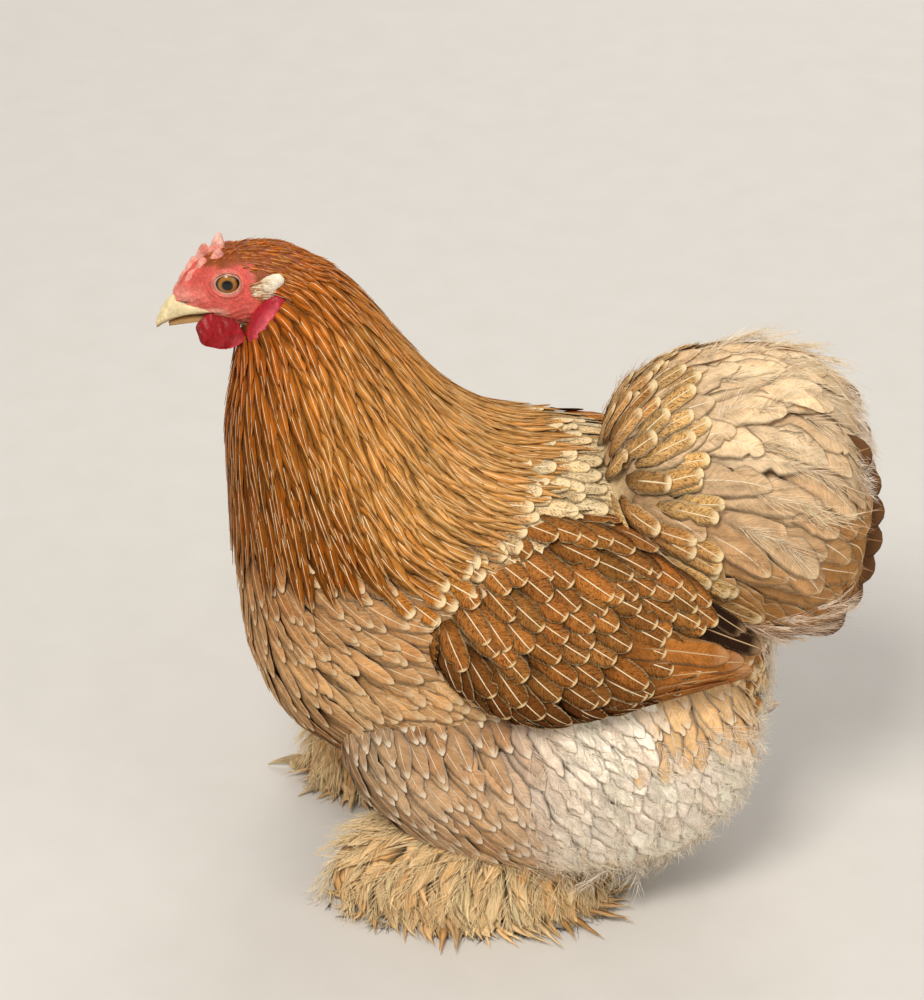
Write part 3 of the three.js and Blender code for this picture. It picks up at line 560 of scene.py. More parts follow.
def eye_shade():
    """Pupil, streaked iris and dark rim by the distance from the eye's own axis, under a wet coat."""
    s = Shade("eye_glass")
    away, turn, _ = s.split(s.attribute("vane"))
    streaks = s.noise(s.vector(s.times(away, 0.35), turn, 0.0), 7.0, 3.0, 0.6)
    flecks = s.noise(s.vector(away, s.times(turn, 2.0), 3.0), 2.0, 3.0)
    iris = s.mix(streaks, colour("6E4412"), colour("B8802E"))
    iris = s.mix(s.step(flecks, 0.45, 0.7, 0.0, 0.6), iris, colour("7A3E10"))
    iris = s.mix(s.step(away, 2.7, 3.6), colour("3A2A12"), iris)
    iris = s.mix(s.step(away, 4.6, 5.5), iris, colour("1A120C"))
    tint = s.mix(s.step(away, 2.55, 2.85), colour("050404"), iris)
    return s.finish(
        tint,
        s.bump(streaks, 0.03, 0.3),
        Roughness=0.2,
        Specular_IOR_Level=0.15,
        Coat_Weight=0.6,
        Coat_Roughness=0.03,
    )


# Feathers

def stations(count):
    """Shares of a feather's length, closer together toward its tip."""
    return np.sin(np.linspace(0, math.pi / 2, count))


def vane_width(s, full_from, round_from, tip):
    """Half width along a feather, as a share of its widest."""
    base = 0.32 + 0.68 * smooth(s, 0, full_from)
    x = clamp((s - round_from) / (1 - round_from))
    return np.maximum(base * (1 - x**tip) ** (1 / tip if tip > 1.5 else 1), 0.05)


def heading_of(sway, aim, p, run, turn):
    """The turn from the ribs' own lie: sway alone, or sway from the way that aim gives at each point."""
    if aim is None:
        return sway
    wanted = aim(p)
    return sway + np.arctan2(np.sum(wanted * turn, 1), np.sum(wanted * run, 1))


def follow(surface, t, angle, length, sway, shares, aim=None):
    """Points, ways and normals of lines that run over a surface from each spot.

    The lines run with the ribs' own lie, or as aim says for each point, turned by sway."""
    points, ways, normals = [], [], []
    p, run, turn, out, fast, around = surface.lie(t, angle)
    last = 0.0
    for share in shares:
        step = (share - last) * length
        last = share
        heading = heading_of(sway, aim, p, run, turn)
        t = t + step * np.cos(heading) / fast
        angle = angle + step * np.sin(heading) / around
        p, run, turn, out, fast, around = surface.lie(t, angle)
        points.append(p)
        ways.append(unit(run * np.cos(heading)[:, None] + turn * np.sin(heading)[:, None]))
        normals.append(out)
    return (np.stack(v, 1) for v in (points, ways, normals))


# The space kept under the feathers that meet the floor, and the range of each feather's own noise seed.
FLOOR_GAP = 2.2
CHANCES = 300
FEATHER = {
    "width": 10,
    "length": 40,
    "sway": 0.0,
    "sink": 4.0,
    "rise": 1.0,
    "curl": 0.0,
    "roof": 0.14,
    "bend": 0.0,
    "roll": 0.12,
    "thick": 0.35,
    "stations": 9,
    "strips": 2,
    "full_from": 0.3,
    "round_from": 0.55,
    "tip": 2.0,
    "ragged": 0.08,
    "notch": 0.0,
    "vary": 0.12,
    "stray": 0.08,
    "lift_vary": 0.6,
}


def feathers(surface, t, angle, tint, **given):
    """Closed vanes with a raised shaft, rooted at (t, angle) and lying along the surface."""
    f = {**FEATHER, **given}
    n, rows, strips = len(t), f["stations"], f["strips"]
    shares = stations(rows)
    length = f["length"] * (1 + f["vary"] * draw.normal(0, 1, n).clip(-2, 2))
    half = f["width"] / 2 * (1 + 0.6 * f["vary"] * draw.normal(0, 1, n).clip(-2, 2))
    sway = f["sway"] + f["stray"] * draw.normal(0, 1, n)
    points, ways, normals = follow(surface, t, angle, length, sway, shares, f.get("aim"))
    lift = f["rise"] + f["lift_vary"] * draw.normal(0, 1, n)
    climb = -f["sink"] + (f["sink"] + lift)[:, None] * shares**0.75
    climb = climb + np.asarray(f["curl"] * draw.uniform(0.4, 1.4, n))[:, None] * shares**3
    points = points + normals * climb[..., None]
    bend = (f["bend"] * draw.normal(0, 1, n))[:, None] * shares**2 * length[:, None]
    points = points + np.cross(ways, normals) * bend[..., None]
    below = np.maximum(FLOOR_GAP + lift[:, None] - points[..., 2], 0)[..., None]
    points = points + unit(normals * [1, 1, 0]) * below * [0.9, 0.9, 0] + below * [0, 0, 1]
    normals = unit(normals + smooth(below, 0, 3) * [0, 0, 2.0])
    ways = unit(np.gradient(points, axis=1))
    sides = unit(np.cross(ways, normals))
    normals = np.cross(sides, ways)
    roll = (f["roll"] * draw.normal(0, 1, n))[:, None, None]
    normals, sides = unit(normals + sides * roll), unit(sides - normals * roll)
    shape = vane_width(shares, f["full_from"], f["round_from"], f["tip"])
    wide = half[:, None] * shape
    torn = 1 - f["ragged"] * draw.random((n, rows, 2))
    torn = torn * (1 - 0.45 * (draw.random((n, rows, 2)) < f["notch"]))
    across = np.linspace(-1, 1, 2 * strips + 1)
    count = len(across) + 1
    ring = np.empty((n, rows, count, 3))
    for k, a in enumerate(across):
        reach = wide * (a if a == 0 else a * torn[:, :, int(a > 0)])
        drop = f["roof"] * np.abs(reach) * abs(a) - (0.3 if a == 0 else 0) * shape
        ring[:, :, k] = points + sides * reach[..., None] - normals * drop[..., None]
    ring[:, :, -1] = points - normals * (f["thick"] + 0.25 * f["roof"] * wide)[..., None]
    ring[..., 2] = np.maximum(ring[..., 2], 0.8)
    along, side_of = shares[None, :, None], np.append(across, 0.0)
    chance = (draw.random(n) * CHANCES)[:, None, None]
    mm_along, mm_across = along * length[:, None, None], side_of * wide[..., None]
    faces = vane_triangles(rows, count)
    return bundle(ring, faces, along, side_of, chance, mm_along, mm_across, tint, surface, t, angle)


PATCH = 0.003


def bundle(ring, faces, along, side_of, chance, mm_along, mm_across, tint, surface, t, angle):
    """All that one piece of coat needs: points, triangles, attributes and the OFBake places."""
    n, per, shape = len(ring), ring.shape[1] * ring.shape[2], ring.shape[:3]
    triangles = (faces[None] + (np.arange(n) * per)[:, None, None]).reshape(-1, 3)
    column, row = surface.tile % TILES, surface.tile // TILES
    root_u = (column + 0.03 + 0.94 * ((angle / (2 * math.pi)) % 1)) / TILES
    root_v = (row + 0.03 + 0.94 * clamp(t / surface.last)) / TILES
    u = root_u[:, None, None] + side_of * PATCH / 2
    v = root_v[:, None, None] + along * PATCH
    flat = lambda *parts: np.stack([np.broadcast_to(p, shape).reshape(-1) for p in parts], 1)
    return {
        "points": ring.reshape(-1, 3),
        "triangles": triangles,
        "vane": flat(along, side_of, chance / CHANCES),
        "barb": flat(mm_along, mm_across, chance),
        "coat": np.repeat(tint, per, axis=0),
        "uv": flat(u, v),
    }


# Where the coat's roots are, and their colours, for the skin under them
coat_roots = []


def coat_piece(name, bundles, material, slot, *nodes):
    """One piece of coat from several bundles."""
    shape = joined([(b["points"], b["triangles"]) for b in bundles])
    layers = {key: np.concatenate([b[key] for b in bundles]) for key in ("vane", "barb", "coat", "uv")}
    add_piece(name, shape, material, slot, *nodes, **layers)


def strands(surface, t, angle, root, heading, bend, length, thick, tint):
    """Thin tapered threads of three sides from each root, with a free bend."""
    n, rows = len(root), 4
    s = np.linspace(0, 1, rows)[None, :, None]
    line = root[:, None] + heading[:, None] * s * length[:, None, None] + bend[:, None] * s**2
    way = unit(heading[:, None] * length[:, None, None] + 2 * bend[:, None] * s)
    u = unit(np.cross(way, np.array([0.31, 0.52, 0.79])))
    v = np.cross(way, u)
    radius = np.broadcast_to(thick, n)[:, None, None] * np.maximum(1 - s, 0.12) ** 0.8
    ring = np.stack([line + radius * (u * math.cos(a) + v * math.sin(a)) for a in turns(3)], 2)
    ring[..., 2] = np.maximum(ring[..., 2], 0.6)
    chance = (draw.random(n) * CHANCES)[:, None, None]
    mm_along = s * length[:, None, None]
    return bundle(ring, vane_triangles(rows, 3), s, 0.0, chance, mm_along, 0.0, tint, surface, t, angle)


def plumes(
    surface, t, angle, tint, length, barbs, barb, thick=0.22, lift=0.15, sink=3, sway=0, curl=0.3, aim=None
):
    """Soft loose feathers: many fine barbs to both sides of an unseen shaft."""
    n = len(t)
    p, run, turn, out, _, _ = surface.lie(t, angle)
    sway = heading_of(sway + 0.25 * draw.normal(0, 1, n), aim, p, run, turn)
    shaft = unit(run * np.cos(sway)[:, None] + turn * np.sin(sway)[:, None] + out * lift)
    side = unit(np.cross(shaft, out))
    size = length * draw.uniform(0.75, 1.2, n)
    many = np.repeat(np.arange(n), barbs)
    share = np.tile(np.linspace(0.05, 1, barbs), n) + draw.normal(0, 0.03, n * barbs)
    hand = np.tile(np.where(np.arange(barbs) % 2, 1, -1), n)
    spread = (1.0 - 0.75 * share) * draw.uniform(0.55, 1.15, n * barbs)
    root = (p - out * sink)[many] + shaft[many] * (share * size[many] * 0.75)[:, None]
    root = root + out[many] * draw.normal(0, 0.5, (n * barbs, 1))
    up = out[many] * draw.normal(0.05, 0.12, (n * barbs, 1))
    heading = unit(shaft[many] + side[many] * (hand * spread)[:, None] + up)
    reach = barb * (1 - 0.35 * share) * draw.uniform(0.6, 1.25, n * barbs)
    bend = shaft[many] * (curl * reach)[:, None] + draw.normal(0, 0.13, (n * barbs, 3)) * reach[:, None]
    return strands(surface, t[many], angle[many], root, heading, bend, reach, thick, tint[many])


AROUND = (-math.pi, math.pi)
UNDERSIDE = (2.2, 2 * math.pi - 2.2)
TRIES = 22


def scatter(surface, t_range, spacing, keep=None, angle_range=AROUND):
    """Spots spread evenly over part of a surface, none nearer to another than the spacing.

    TRIES spots are drawn for each that would fit, and those too near to one already taken are dropped."""
    rough = 4000
    t = draw.uniform(*t_range, rough)
    angle = draw.uniform(*angle_range, rough)
    _, _, _, _, fast, around = surface.lie(t, angle)
    area = fast * around
    whole = area.mean() * (t_range[1] - t_range[0]) * (angle_range[1] - angle_range[0])
    count = int(whole / spacing**2 * TRIES)
    t = draw.uniform(*t_range, count)
    angle = draw.uniform(*angle_range, count)
    p, _, _, _, fast, around = surface.lie(t, angle)
    good = draw.random(count) < fast * around / area.max() * 2.5
    if keep is not None:
        good &= keep(t, angle, p)
    taken, cells = [], {}
    for i in np.flatnonzero(good):
        cell = tuple((p[i] // spacing).astype(int))
        near = [
            j
            for dx in (-1, 0, 1)
            for dy in (-1, 0, 1)
            for dz in (-1, 0, 1)
            for j in cells.get((cell[0] + dx, cell[1] + dy, cell[2] + dz), ())
        ]
        if near and np.min(np.sum((p[near] - p[i]) ** 2, 1)) < spacing**2:
            continue
        cells.setdefault(cell, []).append(i)
        taken.append(i)
    return t[taken], angle[taken], p[taken]


def tree_of(name):
    """A node's surface, and the furthest that a spot inside the node can be from it."""
    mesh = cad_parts[name].data
    points = np.array([v.co for v in mesh.vertices]) / MM
    tree = BVHTree.FromPolygons(points.tolist(), [tuple(p.vertices) for p in mesh.polygons])
    return tree, np.ptp(points, axis=0).min() / 2


def inside(tree, spot):
    """True for a spot inside a closed form: a ray from it crosses the form an odd number of times."""
    ray, hits = Vector((0.31, 0.17, 0.93)), 0
    while True:
        place, _, _, _ = tree.ray_cast(spot, ray)
        if place is None:
            return hits % 2 == 1
        hits += 1
        spot = place + ray * 0.001


def clear_of(depth, *trees):
    """A test that keeps spots that aren't deep inside any of the forms."""

    def keep(t, angle, p):
        good = np.ones(len(p), bool)
        for i, spot in enumerate(p):
            spot = Vector(spot)
            for tree, reach in trees:
                near, normal, _, distance = tree.find_nearest(spot)
                if depth < distance < reach and (spot - near).dot(normal) < 0 and inside(tree, spot):
                    good[i] = False
        return good

    return keep


def root_tints(p, tint):
    """Notes the coat's colour at its roots, which the skin then carries too."""
    coat_roots.append((p, tint))
    return tint


def varied(tint, amount=0.1):
    """Each feather a little lighter or darker, and warmer or cooler, than its neighbours."""
    n = len(tint)
    light = 1 + amount * draw.normal(0, 1, (n, 1)).clip(-2, 2)
    warm = amount * 0.3 * draw.normal(0, 1, (n, 1)) * np.array([[1, 0, -1]])
    return np.clip(tint * light * (1 + warm), 0.002, 0.95)


# Colours of the plumage
AMBER, GOLD, STRAW = colour("8E4C0E"), colour("C58034"), colour("DAAC6C")
BREAST_BROWN, BREAST_BUFF = colour("925C2E"), colour("CB9E6C")
COVERT_BROWN, COVERT_DARK = colour("96602E"), colour("5E3414")
SECONDARY, PRIMARY = colour("A8682E"), colour("2A1A10")
CREAM, WHITE, TAN = colour("F0D8A8"), colour("FAECDA"), colour("D09A58")
CUSHION_LOW, CUSHION_HIGH = colour("A87640"), colour("E6CDA8")
MAIN_BROWN = colour("4A2C18")
BOOT_GOLD, BOOT_PALE = colour("D29650"), colour("F2D8A8")
PINK_BUFF, GREY_BUFF = colour("9C7046"), colour("CBA67E")
CROWN_RED, BAND_GOLD = colour("A64E0A"), colour("DDB480")
SHAFT_CREAM, EDGE_CREAM, SPECK = colour("F0DEB8"), colour("DDBE8C"), colour("3A1E0A")

# In each look, root and shade_to set the painted shade toward the vane's root: its darkest share, and where
# it has faded out.
shade_hackle = feather_shade(
    "hackle_vane", SHAFT_CREAM, colour("D9A868"),
    {"shaft_width": 0.07, "edge": 0.25, "tip": 0.6, "tip_from": 0.86, "root": 0.88, "shade_to": 0.5,
     "hairy": True, "barb_low": 0.64, "bump": 0.3},
)
shade_breast = feather_shade(
    "breast_vane", colour("F0DCB8"), colour("E6CCA4"),
    {"shaft_width": 0.055, "edge": 0.6, "tip": 0.7, "edge_from": 0.74, "root": 0.7, "barb_low": 0.8},
)
shade_covert = feather_shade(
    "covert_vane", SHAFT_CREAM, EDGE_CREAM,
    {"edge": 0.85, "tip": 0.9, "edge_from": 0.84, "tip_from": 0.94,
     "pepper": SPECK, "pepper_amount": 0.75, "root": 0.5, "shaft_width": 0.06},
)
shade_flight = feather_shade(
    "flight_vane", colour("C9A87C"), colour("C8A278"),
    {"shaft_width": 0.07, "edge": 0.35, "tip": 0.4, "pepper": SPECK, "pepper_amount": 0.3, "root": 0.5},
)
shade_saddle = feather_shade(
    "saddle_vane", SHAFT_CREAM, CREAM,
    {"shaft_width": 0.08, "edge": 0.6, "tip": 0.9, "pepper": SPECK, "pepper_amount": 0.75, "root": 0.6},
)
shade_cushion = feather_shade(
    "cushion_vane", colour("F2E2C4"), colour("EAD3AC"),
    {"shaft_width": 0.045, "edge": 0.45, "edge_from": 0.8, "tip": 0.45, "tip_from": 0.92, "root": 0.85,
     "barb_low": 0.88, "bump": 0.2},
)
shade_main = feather_shade(
    "main_vane", colour("B98F62"), colour("8A6444"),
    {"shaft_width": 0.05, "edge": 0.4, "tip": 0.5, "root": 0.6},
)
shade_thigh = feather_shade(
    "thigh_vane", colour("F0E2CC"), colour("EEDFC6"),
    {"shaft_width": 0.04, "edge": 0.6, "tip": 0.7, "edge_from": 0.74, "root": 0.8, "barb_low": 0.88,
     "bump": 0.2},
)
shade_down = feather_shade(
    "down_vane", WHITE, WHITE,
    {"shaft": 0.0, "edge": 0.4, "tip": 0.5, "edge_from": 0.6, "root": 0.9, "barb_low": 0.9, "bump": 0.2},
)
shade_boot = feather_shade(
    "boot_vane", colour("F4DDB0"), BOOT_PALE,
    {"shaft_width": 0.06, "edge": 0.5, "tip": 0.7, "root": 0.7, "hairy": True, "barb_low": 0.8, "bump": 0.3},
)
shade_strand = strand_shade("loose_barb")

torso_tree, tail_tree = tree_of("torso"), tree_of("tail")
wing_trees = {side: tree_of(name) for side, name in ((LEFT, "wing_left"), (RIGHT, "wing_right"))}
thigh_trees = {side: tree_of(name) for side, name in ((LEFT, "thigh_left"), (RIGHT, "thigh_right"))}
SIDE_NAMES = {LEFT: "left", RIGHT: "right"}


def behindness(angle):
    """0 at the front line of the body and 1 at its back line."""
    return (1 + np.cos(angle)) / 2


def ripple(p, wave, phase=0.0):
    """A smooth, uneven pattern over space, from -1 to 1."""
    x, y, z = p[:, 0] / wave + phase, p[:, 1] / wave, p[:, 2] / wave
    return (np.sin(5.1 * x + 1.7 * z) + np.sin(4.3 * z - 2.9 * y + 1) + np.sin(3.7 * y + 2.3 * x + 2)) / 3


def neck_hackle():
    """Narrow pointed feathers, down the front and sides of the neck and back over the shoulders."""
    cape_edge = lambda angle: 3.2 + 1.5 * behindness(angle)
    above_edge = lambda t, angle, p: t < cape_edge(angle)
    t, angle, p = scatter(body, (0.1, 4.7), 4.9, above_edge)
    share = t / cape_edge(angle)
    back = behindness(angle)
    tint = blend(AMBER, GOLD, smooth(back + 0.25 * ripple(p, 60), 0.15, 0.9))
    tint = blend(tint, CROWN_RED, 0.8 * smooth(share, 0.6, 0.0))
    tint = blend(tint, AMBER * 0.8, 0.5 * smooth(share, 0.55, 1.0) * (1 - back))
    tint = blend(tint, STRAW, 0.4 * smooth(back, 0.5, 0.9) * smooth(share, 0.2, 0.8))
    tint = root_tints(p, varied(tint, 0.13))
    return feathers(
        body, t, angle, tint, length=20 + 34 * smooth(share, -0.1, 0.7), width=8 + 4.5 * share,
        rise=0.5 + 1.5 * smooth(share, 0.6, 1), sink=2.5, curl=0.15, roof=0.02, bend=0.03, roll=0.05,
        stray=0.07, stations=8, strips=1,
        full_from=0.4, round_from=0.5, tip=1.25, ragged=0.3, notch=0.08, lift_vary=0.15, thick=0.2,
    )


def breast_feathers():
    """Rounded scale feathers under the cape, pinkish brown with pale rims."""
    def front(t, angle, p):
        low = (behindness(angle) < 0.62) & (t > 3.3 + 1.5 * behindness(angle))
        return low & clear_of(9, *wing_trees.values())(t, angle, p)

    t, angle, p = scatter(body, (3.3, 8.6), 9.0, front)
    share = smooth(t, 4.0, 7.0)
    tint = blend(BREAST_BROWN, BREAST_BUFF, 0.35 + share * 0.9 + 0.25 * ripple(p, 50))
    # Painted shade: a darker copy of the breast brown, low on the front where the underside is in shadow.
    tint = blend(tint, BREAST_BROWN * 0.6, smooth(p[:, 2], 165, 105) * smooth(behindness(angle), 0.4, 0.15))
    tint = root_tints(p, varied(tint, 0.1))
    sideways = np.sin(angle)
    return feathers(
        body, t, angle, tint, length=34, width=14, rise=0.1 + 0.5 * smooth(t, 4.2, 5.4), sink=3, curl=0.3,
        roof=0.03, roll=0.05, stray=0.08, stations=10, ragged=0.18, notch=0.07, round_from=0.6, tip=1.7,
        strips=2, lift_vary=0.15, thick=0.2,
        sway=-np.sign(sideways) * 0.5 * smooth(np.abs(sideways), 0.1, 0.9),
    )


def flank_feathers():
    """Golden buff feathers with pale shafts, low on the side behind the breast."""
    def side(t, angle, p):
        good = (behindness(angle) > 0.2) & (behindness(angle) < 0.93)
        return good & clear_of(12, *wing_trees.values(), *thigh_trees.values(), tail_tree)(t, angle, p)

    t, angle, p = scatter(body, (6.2, 10.8), 9.0, side)
    tint = blend(TAN, GOLD, clamp(0.5 + 0.5 * ripple(p, 55)) * 0.7)
    tint = blend(tint, BAND_GOLD, 0.7 * smooth(p[:, 0], 10, 60))
    tint = blend(tint, BREAST_BUFF, smooth(p[:, 0], 20, -30))
    tint = blend(tint, WHITE * 0.9, smooth(p[:, 2], 148, 128) * smooth(p[:, 0], 0, 60))
    tint = root_tints(p, varied(tint, 0.12))
    return feathers(
        body, t, angle, tint, length=36, width=14, rise=1.0, sink=4, curl=0.8, roof=0.08, roll=0.08,
        stray=0.1, stations=10, ragged=0.22, notch=0.08, round_from=0.6, lift_vary=0.4,
    )


def back_feathers():
    """Speckled feathers over the back and saddle, with cream tips toward the tail."""
    def top(t, angle, p):
        return (behindness(angle) > 0.55) & clear_of(24, tail_tree, *wing_trees.values())(t, angle, p)

    t, angle, p = scatter(body, (4.6, 9.8), 8.4, top, (-1.8, 1.8))
    tint = blend(COVERT_BROWN, GOLD, clamp(0.45 + 0.5 * ripple(p, 40)) * 0.7)
    pale = smooth(p[:, 0], -60, 0) * smooth(p[:, 0], 80, 50)
    tint = root_tints(p, varied(blend(tint, CREAM, 0.8 * pale), 0.12))
    return feathers(
        body, t, angle, tint, length=38, width=13.5, rise=1.2, sink=3.5, curl=0.8, roof=0.05, roll=0.06,
        stray=0.1, stations=11, ragged=0.14, notch=0.05, round_from=0.7, tip=2.6, lift_vary=0.5,
    )


TAIL_ROOT = (46, 0, 256)


def from_tail_root(p):
    """The way of the tail's feathers: out from the root, and drooping a little toward the rear."""
    away = unit(p - np.array(TAIL_ROOT)) * np.array([1.0, 0.15, 1.0])
    droop = smooth(p[:, 0], 80, 190)[:, None] * np.array([[0.0, 0.0, -0.55]])
    return unit(away + np.array([0.25, 0, 0]) + droop)


def cushion_tint(p):
    """Cream on top, and tan toward the tail's lower side."""
    high = smooth(p[:, 2] - 0.2 * p[:, 0], 185, 322)
    return blend(CUSHION_LOW, CUSHION_HIGH, high + 0.22 * ripple(p, 70))


def tail_cushion():
    """Broad soft feathers that fan from the root of the tail."""
    t, angle, p = scatter(tail, (0.25, 7.6), 13.5, clear_of(14, torso_tree))
    tint = root_tints(p, varied(cushion_tint(p), 0.07))
    return feathers(
        tail, t, angle, tint, length=60 - 36 * smooth(t, 3.2, 5.1), width=23, rise=0.7, sink=4,
        curl=0.3, roof=0.02, roll=0.03, stray=0.07, bend=0.1, stations=16, strips=3, ragged=0.16,
        notch=0.06, round_from=0.6, tip=1.8, lift_vary=0.15, full_from=0.4, aim=from_tail_root, thick=0.15,
    )


def tail_front():
    """Speckled feathers with cream tips where the back meets the cushion."""
    def near(t, angle, p):
        return (p[:, 2] > 178) & (p[:, 2] < 300) & clear_of(20, torso_tree)(t, angle, p)

    t, angle, p = scatter(tail, (-0.95, 1.7), 9.0, near)
    tint = varied(blend(COVERT_BROWN, STRAW, 0.7 + 0.5 * ripple(p, 30)), 0.12)
    return feathers(
        tail, t, angle, tint, length=32, width=13, rise=1.8, sink=2, curl=0.5, roof=0.05, roll=0.06,
        stray=0.12, stations=11, ragged=0.14, notch=0.05, round_from=0.7, tip=2.6, aim=from_tail_root,
    )


def tail_plumes():
    """Loose curled barbs over the cushion and a white tuft at its rear."""
    t, angle, p = scatter(tail, (0.6, 5.3), 11, clear_of(8, torso_tree))
    tint = varied(blend(cushion_tint(p), CREAM, 0.15), 0.06)
    veil = plumes(
        tail, t, angle, tint, 24, 13, 9, thick=0.16, lift=0.03, sink=-0.4, aim=from_tail_root,
    )
    t, angle, p = scatter(tail, (2.6, 4.2), 17, angle_range=(-1.5, 1.5))
    tint = varied(blend(CREAM, WHITE, np.full(len(p), 0.5)), 0.05)
    curled = plumes(
        tail, t, angle, tint, 26, 17, 17, thick=0.26, lift=0.1, sink=-0.8, curl=0.7, aim=from_tail_root,
    )
    t, angle, _ = scatter(tail, (5.0, 5.9), 6, angle_range=(-1.2, 1.2))
    tuft = plumes(tail, t, angle, np.tile(WHITE, (len(t), 1)), 12, 13, 9, thick=0.22, lift=0.4, sink=0.5)
    return [veil, curled, tuft]


MAIN = {"x": 84, "z": 220, "y": 6, "spread": 22, "length": 121, "width": 40, "count": 7}
MAIN_SLOPES = (math.radians(30), math.radians(-36))


def main_feathers():
    """Stiff dark tail feathers, fanned from the root, that show as the tail's rear rim."""
    bundles = []
    for side in (LEFT, RIGHT):
        for share in np.linspace(0, 1, MAIN["count"]):
            slope = MAIN_SLOPES[0] + (MAIN_SLOPES[1] - MAIN_SLOPES[0]) * share
            spread = MAIN["y"] + MAIN["spread"] * (1 - share)
            c, s = math.cos(slope), math.sin(slope)
            length = MAIN["length"] - 16 * (1 - share) * share
            rows, fan = 14, 7
            u = stations(rows)
            across = np.linspace(-1, 1, fan)
            half = MAIN["width"] / 2 * vane_width(u, 0.5, 0.72, 2.2)
            line = np.stack([
                MAIN["x"] + c * length * u,
                side * (spread * (0.5 + 0.6 * u)),
                MAIN["z"] + s * length * u - 5 * u**2,
            ], 1)
            up = np.array([-s, 0.0, c])
            out = np.array([0.0, side, 0.0])
            torn = 1 - 0.08 * draw.random((rows, fan))
            top = line[:, None] + up * (half[:, None] * across * torn)[..., None]
            top = top + out * (1.2 - 0.05 * half[:, None] * across**2)[..., None]
            under = line + out * 0.5
            ring = np.concatenate([top, under[:, None]], 1)[None]
            faces = vane_triangles(rows, fan + 1)
            faces = faces if side < 0 else faces[:, ::-1]
            along, side_of = u[None, :, None], np.append(across, 0.0)
            bundles.append(bundle(
                ring, faces, along, side_of, share * 250 + 20, along * length,
                side_of * half[None, :, None], MAIN_BROWN[None], tail,
                np.array([3.0 + share]), np.array([side * (0.4 + 1.6 * share)]),
            ))
    return bundles


COVERT_ANGLES = (-0.3, 2.75)


def down_the_wing(p):
    """The way of the coverts: steeply down at the shoulder, and flatter toward the wing's tip."""
    slope = np.interp(p[:, 0], [-60, 0, 60, 130], [1.15, 0.85, 0.6, 0.35])
    return np.stack([np.cos(slope), np.zeros(len(p)), -np.sin(slope)], 1)


def wing_coverts(side):
    """Rows of rounded peppered feathers over the folded wing, darker in the lowest row."""
    wing = wings[side]
    angles = sorted(side * angle for angle in COVERT_ANGLES)

    def covered(t, angle, p):
        return p[:, 0] < 72 - 24 * smooth(np.abs(angle) / math.pi, 0.4, 0.8)

    t, angle, p = scatter(wing, (0.1, 4.6), 9.2, covered, angles)
    down = np.abs(angle) / math.pi
    tint = blend(COVERT_BROWN, GOLD, clamp(0.25 + 0.35 * ripple(p, 35)) * 0.6)
    tint = blend(tint, COVERT_DARK, smooth(down, 0.42, 0.7) * 0.9)
    tint = root_tints(p, varied(tint, 0.14))
    return feathers(
        wing, t, angle, tint, length=30 + 2 * t, width=15.5, rise=1.3, sink=3.0, curl=0.5,
        aim=down_the_wing, roof=0.06, roll=0.05, stray=0.06, stations=12, ragged=0.1, notch=0.03,
        round_from=0.66, tip=2.3, vary=0.08, lift_vary=0.2,
    )


FLIGHT = [
    # start t, share of the way round, length, width, lift
    [2.9, 0.50, 74, 15, 1.6],
    [3.0, 0.57, 78, 15, 1.3],
    [3.1, 0.64, 80, 15, 1.0],
    [3.1, 0.71, 82, 15, 0.7],
    [3.0, 0.78, 84, 15, 0.4],
    [2.9, 0.85, 84, 15, 0.1],
]
DARK_FLIGHT = [[3.8, 0.24, 48, 13, 0.2], [3.9, 0.31, 52, 13, 0.6], [3.9, 0.38, 54, 13, 1.0]]


def wing_flight(side):
    """The long secondaries along the wing's lower rear, and the dark feathers above their ends."""
    wing, bundles = wings[side], []
    for table, first, second in ((FLIGHT, SECONDARY, COVERT_BROWN), (DARK_FLIGHT, PRIMARY, PRIMARY)):
        rows = np.array(table)
        t, angle = rows[:, 0], side * rows[:, 1] * math.pi
        tint = varied(blend(first, second, np.linspace(0, 0.6, len(rows))), 0.07)
        bundles.append(feathers(
            wing, t, angle, tint, length=rows[:, 2], width=rows[:, 3], rise=rows[:, 4] + 1.8, sink=1.5,
            roof=0.12, roll=0.03, stray=0.02, stations=16, strips=3, ragged=0.05, notch=0.02,
            round_from=0.8, vary=0.02, lift_vary=0.1, full_from=0.25, sway=side * 0.06,
        ))
    return bundles


def golden_band(p):
    """1 on the golden feathers that show under the wing's rear, and 0 elsewhere."""
    return smooth(p[:, 2], 127, 139) * smooth(p[:, 0], 44, 60) * smooth(np.abs(p[:, 1]), 40, 60)


